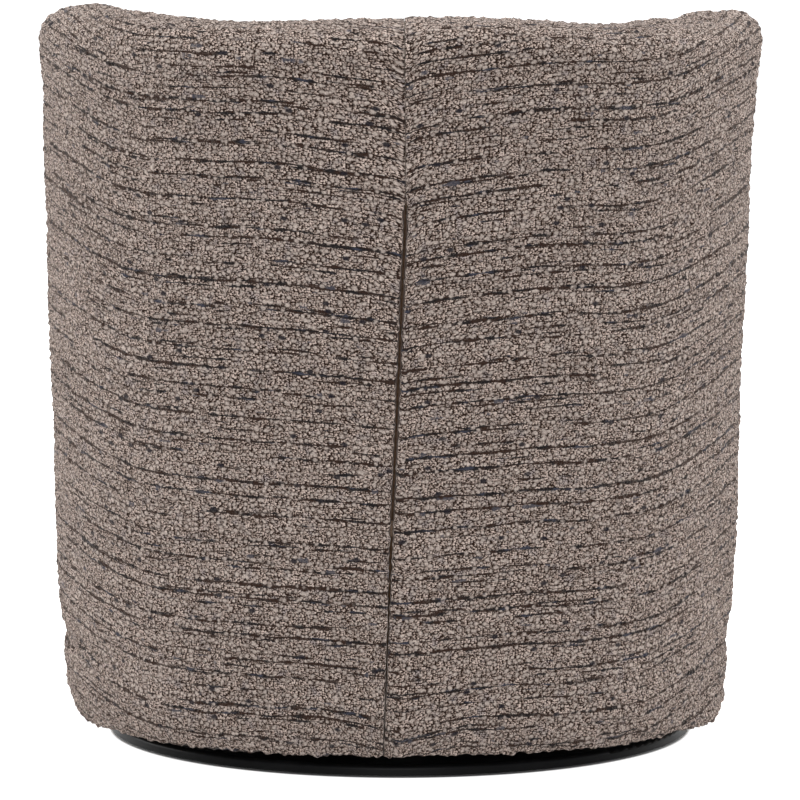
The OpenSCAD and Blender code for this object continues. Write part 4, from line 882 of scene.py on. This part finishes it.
def cushion_form():
    rings = cushion_rings(200)
    n = len(rings[0])
    points = np.concatenate([[[0, 0, CUSHION_LOW + CUSHION_T]], *rings, [[0, 0, CUSHION_LOW + 1]]])
    j = np.arange(n)
    k = (j + 1) % n
    last = len(points) - 1
    base = 1 + (len(rings) - 1) * n
    quads = grid_faces(len(rings), n, False, 1, around=True)
    split = np.concatenate([quads[:, [0, 1, 2]], quads[:, [0, 2, 3]], np.stack([0 * j, 1 + k, 1 + j], -1),
                            np.stack([0 * j + last, base + j, base + k], -1)])
    return mesh_object("seat_cushion_form", points, split)


def evaluated(obj, name):
    """A new object with the modifiers of obj applied."""
    graph = bpy.context.evaluated_depsgraph_get()
    mesh = bpy.data.meshes.new_from_object(obj.evaluated_get(graph))
    made = bpy.data.objects.new(name, mesh)
    scene.collection.objects.link(made)
    return made


def read(items, what, wide=1, kind=np.float32):
    """One attribute of a mesh's points, faces or corners."""
    values = np.zeros(len(items) * wide, kind)
    items.foreach_get(what, values)
    return values.reshape(-1, wide) if wide > 1 else values


def coords(obj):
    return read(obj.data.vertices, "co", 3).astype(float)


def set_coords(obj, co):
    obj.data.vertices.foreach_set("co", co.astype(np.float32).ravel())
    obj.data.update()


def smooth(obj):
    obj.data.polygons.foreach_set("use_smooth", np.ones(len(obj.data.polygons), bool))


def remeshed(form, voxel, name):
    """The form as a new object of even small faces; the form is removed."""
    remesh = form.modifiers.new("voxels", "REMESH")
    remesh.mode, remesh.voxel_size = "VOXEL", voxel
    made = evaluated(form, name)
    bpy.data.objects.remove(form)
    return made


def filled_pad():
    pad = remeshed(cushion_form(), 0.006, "seat_cushion_pad")
    rest = coords(pad)
    cloth = pad.modifiers.new("fill", "CLOTH")
    cloth.settings.use_pressure = True
    cloth.settings.uniform_pressure_force = 4.0
    cloth.settings.effector_weights.gravity = 0.0
    cloth.settings.quality = 5
    scene.frame_start, scene.frame_end = 1, FILL_FRAMES
    for f in range(1, FILL_FRAMES + 1):
        scene.frame_set(f)
    swollen = evaluated(pad, "swollen")
    moved = coords(swollen) - rest
    bpy.data.objects.remove(swollen)
    pad.modifiers.clear()
    scene.frame_set(1)
    far = np.linalg.norm(moved, axis=1, keepdims=True)
    moved *= np.minimum(1, FILL_CAP_M / (far + 1e-9))
    moved[:, :2] *= FILL_SIDEWAYS
    set_coords(pad, rest + moved)
    divide = pad.modifiers.new("smooth", "SUBSURF")
    divide.levels = divide.render_levels = 1
    made = evaluated(pad, "seat_cushion_cloth")
    bpy.data.objects.remove(pad)
    return made


def cushion_cloth(mesh, p):
    """The cushion's place in the cloth: flat on its top, and round its border."""
    index = read(mesh.loops, "vertex_index", kind=np.int32)
    starts = read(mesh.polygons, "loop_start", kind=np.int32)
    totals = read(mesh.polygons, "loop_total", kind=np.int32)
    face_of = np.repeat(np.arange(len(starts)), totals)
    flat = np.abs(read(mesh.polygons, "normal", 3)[face_of, 2]) > FACES_UP
    q = p[index]
    mid_a = np.arctan2(*np.array([np.add.reduceat(q[:, i], starts) / totals for i in (1, 0)]))[face_of]
    angle = np.arctan2(q[:, 1], q[:, 0])
    # a face behind the cut at half a turn keeps its corners on one side of it
    angle = np.where(angle - mid_a > np.pi, angle - 2 * np.pi, angle)
    angle = np.where(mid_a - angle > np.pi, angle + 2 * np.pi, angle)
    side = np.stack([angle * CUSHION_ROUND + CUSHION_SIDE_U, q[:, 2]], -1)
    uv = np.where(flat[:, None], q[:, :2] + [CUSHION_TOP_U, 0], side)
    mesh.uv_layers.new(name="cloth").data.foreach_set("uv", (uv * 0.001).astype(np.float32).ravel())


def seat_cushion():
    made = filled_pad()
    p = coords(made) * 1000
    p[:, 1] *= np.where(p[:, 1] < 0, CUSHION_NOSE_OUT, 1.0)
    a = np.arctan2(p[:, 1], p[:, 0])
    # two seams round the border, drawn in, and the flat underside
    ring = cushion_rings(720)[BORDER_ROW]
    border = np.linalg.norm(ring[:, :2], axis=1)
    ring_a = np.arctan2(ring[:, 1], ring[:, 0])
    order = np.argsort(ring_a)
    reach = np.interp(a, ring_a[order], border[order], period=2 * np.pi)
    out = np.linalg.norm(p[:, :2], axis=1) / reach
    for height, deep in SEAMS:
        near = np.exp(-((p[:, 2] - CUSHION_LOW - CUSHION_T * height) / 2.6) ** 2) * ease((out - 0.86) / 0.08)
        pull = 1 - deep * near / (np.linalg.norm(p[:, :2], axis=1) + 1e-9)
        p[:, :2] *= pull[:, None]
    p[:, 2] = np.maximum(p[:, 2], CUSHION_LOW + 0.4)
    set_coords(made, p * 0.001)
    # creases and loops, which the underside hasn't got
    normals = read(made.data.vertices, "normal", 3)
    upper = normals[:, 2] > FACES_UP
    u, v = np.where(upper, p[:, 0], a * CUSHION_ROUND), np.where(upper, p[:, 1], p[:, 2])
    bump = loops(u + 5000, v) * (p[:, 2] > CUSHION_LOW + 3)
    crease = 0.9 * noise(p[:, 0] / 60, p[:, 1] / 70, 51) * (p[:, 2] > CUSHION_LOW + 10)
    set_coords(made, (p + normals * (bump + crease)[:, None]) * 0.001)
    cushion_cloth(made.data, p)
    smooth(made)
    put(made, "boucle", "boucle", "seat_cushion")
    # piping over both seams, at the radius that the cloth has there
    strands = []
    for height, _ in SEAMS:
        path = ring[::3].copy()
        level = CUSHION_LOW + CUSHION_T * height
        path[:, 2] = level + 0.8 * noise(np.arange(len(path)) / 14, 0 * path[:, 0], 61)
        near = (np.abs(p[:, 2] - level) < 3.0) & (out > 0.8)
        order = np.flatnonzero(near)[np.argsort(a[near])]
        far = np.linalg.norm(p[order, :2], axis=1)
        far = np.mean([np.roll(far, k) for k in range(-5, 6)], axis=0)
        at = np.interp(np.arctan2(path[:, 1], path[:, 0]), a[order], far, period=2 * np.pi) + 1.0
        path[:, :2] *= (at / np.linalg.norm(path[:, :2], axis=1))[:, None]
        strands.append(tube(path, PIPING_R, closed=True))
    uv = [np.stack([np.linspace(0, 2 * np.pi * CUSHION_ROUND, len(t))[:, None] + PIPING_U + 0 * t[..., 2],
                    t[..., 2]], -1).reshape(-1, 2) for t in strands]
    put(joined("seat_cushion_piping", strands, np.concatenate(uv)), "boucle", "boucle")


seat_cushion()


# ---------------------------------------------------------------- padding and foam inside
def padding(side):
    short, name = SIDE_NAMES[side]
    s = spaced(0.03, 2, 0.012)
    k = spaced(0, PAD_TOP, 6 / 695)
    z = HEM_H + 2 + k[:, None] * (crown_z(s) - HEM_H)
    ragged = 0.8 * noise(s * 40, z / 18, 71)
    out = wall(side, s, z, PAD_OUT + np.maximum(0.0, ragged), 0.0, np.minimum(0, stand(side, s, z)))
    made = shell("outside_wadding_" + short, out, wall(side, s, z, PAD_IN), flip=side > 0)
    put(made, "foam", "wadding", "outside_padding_" + name)


def foam_places():
    """Side, place along the wall, and the height where the rim foam meets the inside foam there."""
    s = both_ways(0.02)
    sides, s = np.sign(s) + (s == 0), np.abs(s)
    return sides, s, np.where(s <= 1, FOAM_JOINT, crown_z(s) - FOAM_JOINT_ARM)


def rim_foam():
    sides, s, floor = foam_places()
    angles = spaced(0, 180, 6)
    outer = crown(sides, s, angles[:, None], PAD_OUT)
    depth = WALL_T / 2 - (WALL_T / 2 - PAD_OUT) * spow(np.cos(np.radians(angles)), 2 / CROWN_POWER)
    inner = wall(sides, s, np.broadcast_to(floor, outer.shape[:2]), depth[:, None])
    made = shell("rim_foam_roll", outer, inner, flip=True)
    put(made, "foam", "foam", "rim_foam")


def inside_foam():
    sides, s, top = foam_places()
    top = top - 0.6
    k = spaced(0, 1, 8 / 380)
    z = top + k[:, None] * (SEAT_BOARD_TOP + 0.5 - top)
    far, near = INSIDE_FOAM
    made = shell("inside_foam_slab", wall(sides, s, z, near + 2.4 * np.sin(np.pi * k[:, None])),
                 wall(sides, s, z, far), flip=True)
    put(made, "foam", "foam", "inside_foam")


def arm_pad(side, *stands_for):
    angles = spaced(3, 177, 5)
    z = np.concatenate([spaced(HEM_H + 2, DECK_H - 4, 6), spaced(DECK_H, float(crown_z(2.0)), 6)])
    faces = [arm_end(side, angles * band_turn(z)[:, None], z[:, None], d) for d in (PAD_OUT, PAD_IN)]
    made = shell("arm_front_wadding_" + SIDE_NAMES[side][0], *faces, flip=side > 0)
    put(made, "foam", "wadding", *stands_for)


def band_foam():
    k, z = -spaced(-0.85, 0.85, 0.02), spaced(HEM_H + 1, DECK_H - 3, 6)[:, None]
    made = shell("front_band_pad", band(k, z, PAD_OUT), band(k, z, PAD_OUT + 22), flip=True)
    put(made, "foam", "foam", "front_band_foam")


def deck_cloth():
    """The CAD deck pad, remeshed fine, with an uneven surface."""
    form = bpy.data.objects.new("deck_form", nodes["deck_pad"].data.copy())
    scene.collection.objects.link(form)
    made = remeshed(form, 0.004, "deck_cloth_pad")
    p = coords(made)
    p[:, 2] -= 0.0012 * (0.5 + 0.5 * noise(p[:, 0] / 0.07, p[:, 1] / 0.06, 81))
    set_coords(made, p)
    smooth(made)
    put(made, "foam", "black_cloth", "deck_pad")


padding(1)
padding(-1)
rim_foam()
inside_foam()
arm_pad(1, "arm_front_pads")
arm_pad(-1)
band_foam()
deck_cloth()


# ---------------------------------------------------------------- dust cover, webbing and zip
def box_mm(node):
    low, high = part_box(node)
    return np.array(low) * 1000, np.array(high) * 1000


def dust_cover():
    """Thin black cover stapled under the bottom board, slack between its edges."""
    low, high = box_mm("dust_cover")
    co = coords(nodes["dust_cover"]) * 1000
    far = co[np.abs(co[:, 2] - low[2]) < 0.1][:, :2]
    length, angle = np.linalg.norm(far, axis=1), np.arctan2(far[:, 1], far[:, 0])
    rows = np.round(angle / 0.04)
    farthest = [np.flatnonzero(rows == r)[np.argmax(length[rows == r])] for r in np.unique(rows)]
    half_x, half_y = np.abs(far[np.argmin(np.abs(np.abs(far) - DUST_HOLE).sum(1))])
    a = np.linspace(-np.pi, np.pi, 361)
    reach = np.interp(a, angle[farthest], length[farthest], period=2 * np.pi)
    hole = np.minimum(half_x / (np.abs(np.cos(a)) + 1e-9), half_y / (np.abs(np.sin(a)) + 1e-9))
    k = np.linspace(0, 1, 22)[:, None]
    r = hole + k * (np.maximum(reach, hole + 5) - hole)
    slack = 1.1 * np.sin(np.pi * k) * (0.6 + 0.4 * noise(a * 14, k * 4, 91))
    grid = np.stack([r * np.cos(a), r * np.sin(a), high[2] - 0.25 - slack], -1)
    made = shell("dust_cover_cloth", grid, grid - [0, 0, 0.5], flip=True)
    put(made, "black_cloth", "black_cloth", "dust_cover")


def webbing():
    """Eight strips of webbing, four each way, woven over and under each other."""
    low, high = box_mm("webbing_straps")
    wide, lap, thick, count, number = 50.0, 14.0, 1.2, 4, 0
    mid = (low[2] + high[2]) / 2
    places = [low[i] + lap + (high[i] - low[i] - 2 * lap) * (np.arange(count) + 0.5) / count for i in (0, 1)]
    for along, across in ((0, 1), (1, 0)):
        for i, place in enumerate(places[across]):
            run = spaced(low[along], high[along], 4)
            over = sum((-1) ** (i + j + along) * ease((wide * 0.62 - np.abs(run - cross)) / 11)
                       for j, cross in enumerate(places[along]))
            side = np.linspace(-wide / 2, wide / 2, 13)
            grid = np.zeros((len(run), len(side), 3))
            grid[..., along] = run[:, None]
            grid[..., across] = place + side
            from_end = (high[along] - low[along]) / 2 - np.abs(run - (low[along] + high[along]) / 2)
            lift = 0.78 * over * ease((from_end - 14) / 10)
            ribs = 0.12 * np.cos(side * 2 * np.pi / 7.0)
            grid[..., 2] = mid + lift[:, None] + 0.1 * noise(run[:, None] / 30, side / 20 + i, 95 + along)
            up = grid + [0, 0, thick / 2] + ribs[..., None] * [0, 0, 1]
            number += 1
            made = shell(f"webbing_strip_{number}", up, grid - [0, 0, thick / 2], flip=along == 0)
            put(made, "webbing", "webbing", *(["webbing_straps"] if number == 1 else []))


ZIP_EDGE, ZIP_SPLIT = 15.0, 0.8
WING_OUT, TAPE_OUT, TAPE_IN, COIL_IN, COIL_W = 2.8, 4.1, 4.9, 6.9, 2.4


def zip_frame(p):
    """From the zip's own frame, Z up the seam and Y out of the back, to the chair's."""
    rise, across = ZIP_TOP - ZIP_LOW, float(seam_x(ZIP_TOP) - seam_x(ZIP_LOW))
    out = BACK_LEAN * rise / (RIM_H - HEM_H)
    length = math.sqrt(rise * rise + out * out + across * across)
    lean, slant = math.atan2(out, rise), math.asin(across / length)
    x, y, z = p[..., 0], p[..., 1], p[..., 2]
    x, z = x * math.cos(slant) + z * math.sin(slant), z * math.cos(slant) - x * math.sin(slant)
    y, z = y * math.cos(lean) + z * math.sin(lean), z * math.cos(lean) - y * math.sin(lean)
    return np.stack([x + float(seam_x(ZIP_LOW)), y + float(back_at(ZIP_LOW)), z + ZIP_LOW], -1), length


def zip_tapes():
    length = zip_frame(np.zeros(3))[1]
    z = spaced(-10, length + 10, 1.3)
    x = np.array([ZIP_SPLIT, 2.0, 3.4, 4.7, 5.5, 8.0, 11.0, ZIP_EDGE])
    y = np.array([-TAPE_OUT] * 3 + [-TAPE_OUT + 0.05] + [-WING_OUT - 0.3] * 4)
    rib = 0.05 * np.cos(x * 2 * np.pi / 1.5) + 0.04 * np.cos(z[:, None] * np.pi / 1.3)
    for side in (1, -1):
        out = np.stack(np.broadcast_arrays(side * x, y - 0.06 + rib, z[:, None]), -1)
        made = shell("zip_tape_" + SIDE_NAMES[side][0], zip_frame(out)[0], zip_frame(out - [0, 0.7, 0])[0],
                     flip=side > 0)
        put(made, "zip_cloth", "zip_cloth", *(["zip_tapes"] if side > 0 else []))


def zip_coils():
    """Two nylon coils sewn to the inner faces of the tapes."""
    length = zip_frame(np.zeros(3))[1]
    pitch, wire, steps = 1.5, 0.33, 12
    turns = int((length + 6) / pitch)
    t = np.arange(turns * steps) / steps
    a = 2 * np.pi * t
    x = ZIP_SPLIT + COIL_W / 2 + (COIL_W / 2 - wire) * spow(np.cos(a), 0.8)
    y = -(TAPE_IN + COIL_IN) / 2 - 0.05 + (1.0 - wire) * spow(np.sin(a), 0.8)
    radius = np.where((t == t[0]) | (t == t[-1]), 0.01, wire)
    for side in (1, -1):
        path = np.stack([side * x, y, -3 + t * pitch + (0.5 * pitch if side > 0 else 0)], -1)
        made = joined("zip_coil_" + SIDE_NAMES[side][0], [zip_frame(tube(path, radius, 6))[0]])
        put(made, "zip_plastic", "zip_plastic", *(["zip_coils"] if side > 0 else []))


dust_cover()
webbing()
zip_tapes()
zip_coils()


# ---------------------------------------------------------------- camera, light and floor
CAMERA_FAR, CAMERA_UP, CAMERA_DOWN = 7.0, 1.2406, 7.3244  # metres, metres and degrees
FOCAL_PIXELS, PICTURE_PIXELS, SENSOR_MM = 6832, 800, 36
camera = bpy.data.objects.new("camera", bpy.data.cameras.new("camera"))
scene.collection.objects.link(camera)
camera.location = (0.0, CAMERA_FAR, CAMERA_UP)
camera.rotation_euler = (math.radians(90 - CAMERA_DOWN), 0.0, math.pi)
camera.data.lens = FOCAL_PIXELS / PICTURE_PIXELS * SENSOR_MM
camera.data.sensor_width = SENSOR_MM
camera.data.clip_end = 60
scene.camera = camera


# Softboxes as place, height that they aim at, width, height, all in metres, and power in W. Left and right
# are those of the chair, "front" stands at the camera's side, and "room" at the sitter's.
LAMPS = {
    "side_left": ((2.7, -0.8, 1.1), 0.4, 1.6, 2.0, 56),
    "side_right": ((-2.7, -0.8, 1.1), 0.4, 1.6, 2.0, 51),
    "top": ((0, 0.4, 3.0), 0.4, 2.4, 2.4, 68),
    "front": ((0.2, 5.0, 0.5), 0.25, 2.4, 0.9, 84),
    "room": ((0.0, -4.2, 2.6), 0.4, 3.0, 2.4, 110),
}
for name, (place, aim, width, height, power_w) in LAMPS.items():
    light = bpy.data.lights.new(name, "AREA")
    light.shape, light.size, light.size_y, light.energy = "RECTANGLE", width, height, power_w
    lamp = bpy.data.objects.new(name, light)
    scene.collection.objects.link(lamp)
    lamp.location = place
    lamp.rotation_euler = (Vector((0, 0, aim)) - Vector(place)).to_track_quat("-Z", "Y").to_euler()


def seen(s):
    """1 for camera, glossy and transmission rays."""
    rays = s.tree.nodes.new("ShaderNodeLightPath").outputs
    first, *others = (Value(s, rays[f"Is {kind} Ray"]) for kind in ("Camera", "Glossy", "Transmission"))
    for ray in others:
        first = s.math("ADD", first, ray, clamp=True)
    return first


def studio():
    """Even light that shows white behind the object, and a pale floor that keeps the object's shadow."""
    scene.world = bpy.data.worlds.new("studio")
    s = Tree(scene.world)
    lit = s.add("Background", Color=(0.95, 0.97, 1.0, 1), Strength=0.42)
    white = s.add("Background", Color=(1, 1, 1, 1), Strength=1.0)
    s.end("World", s.add("MixShader", i0=seen(s), i1=lit, i2=white))

    material = bpy.data.materials.new("pale_floor")
    s = Tree(material)
    # the floor is lifted to white for the camera, but not under the disc, where it stays in shadow
    far = s.add("VectorMath", out="Value", props={"operation": "LENGTH"}, i0=s.place)
    past_disc, lift = (s.add("MapRange", i0=far, i1=start, i2=end, i3=least)
                       for start, end, least in ((0.299, 0.302, 0.0), (0.30, 0.8, 0.9)))
    glow = s.add("Emission", Strength=seen(s) * (past_disc * lift))
    plain = s.add("BsdfDiffuse", Color=(0.86, 0.86, 0.86, 1))
    s.end("Material", s.add("AddShader", i0=plain, i1=glow))
    corners = np.array([[-1, -1, 0], [1, -1, 0], [1, 1, 0], [-1, 1, 0]]) * 14000.0
    floor = mesh_object("floor", corners, [[0, 1, 2, 3]])
    floor.data.materials.append(material)


studio()
scene.view_settings.view_transform = "Standard"
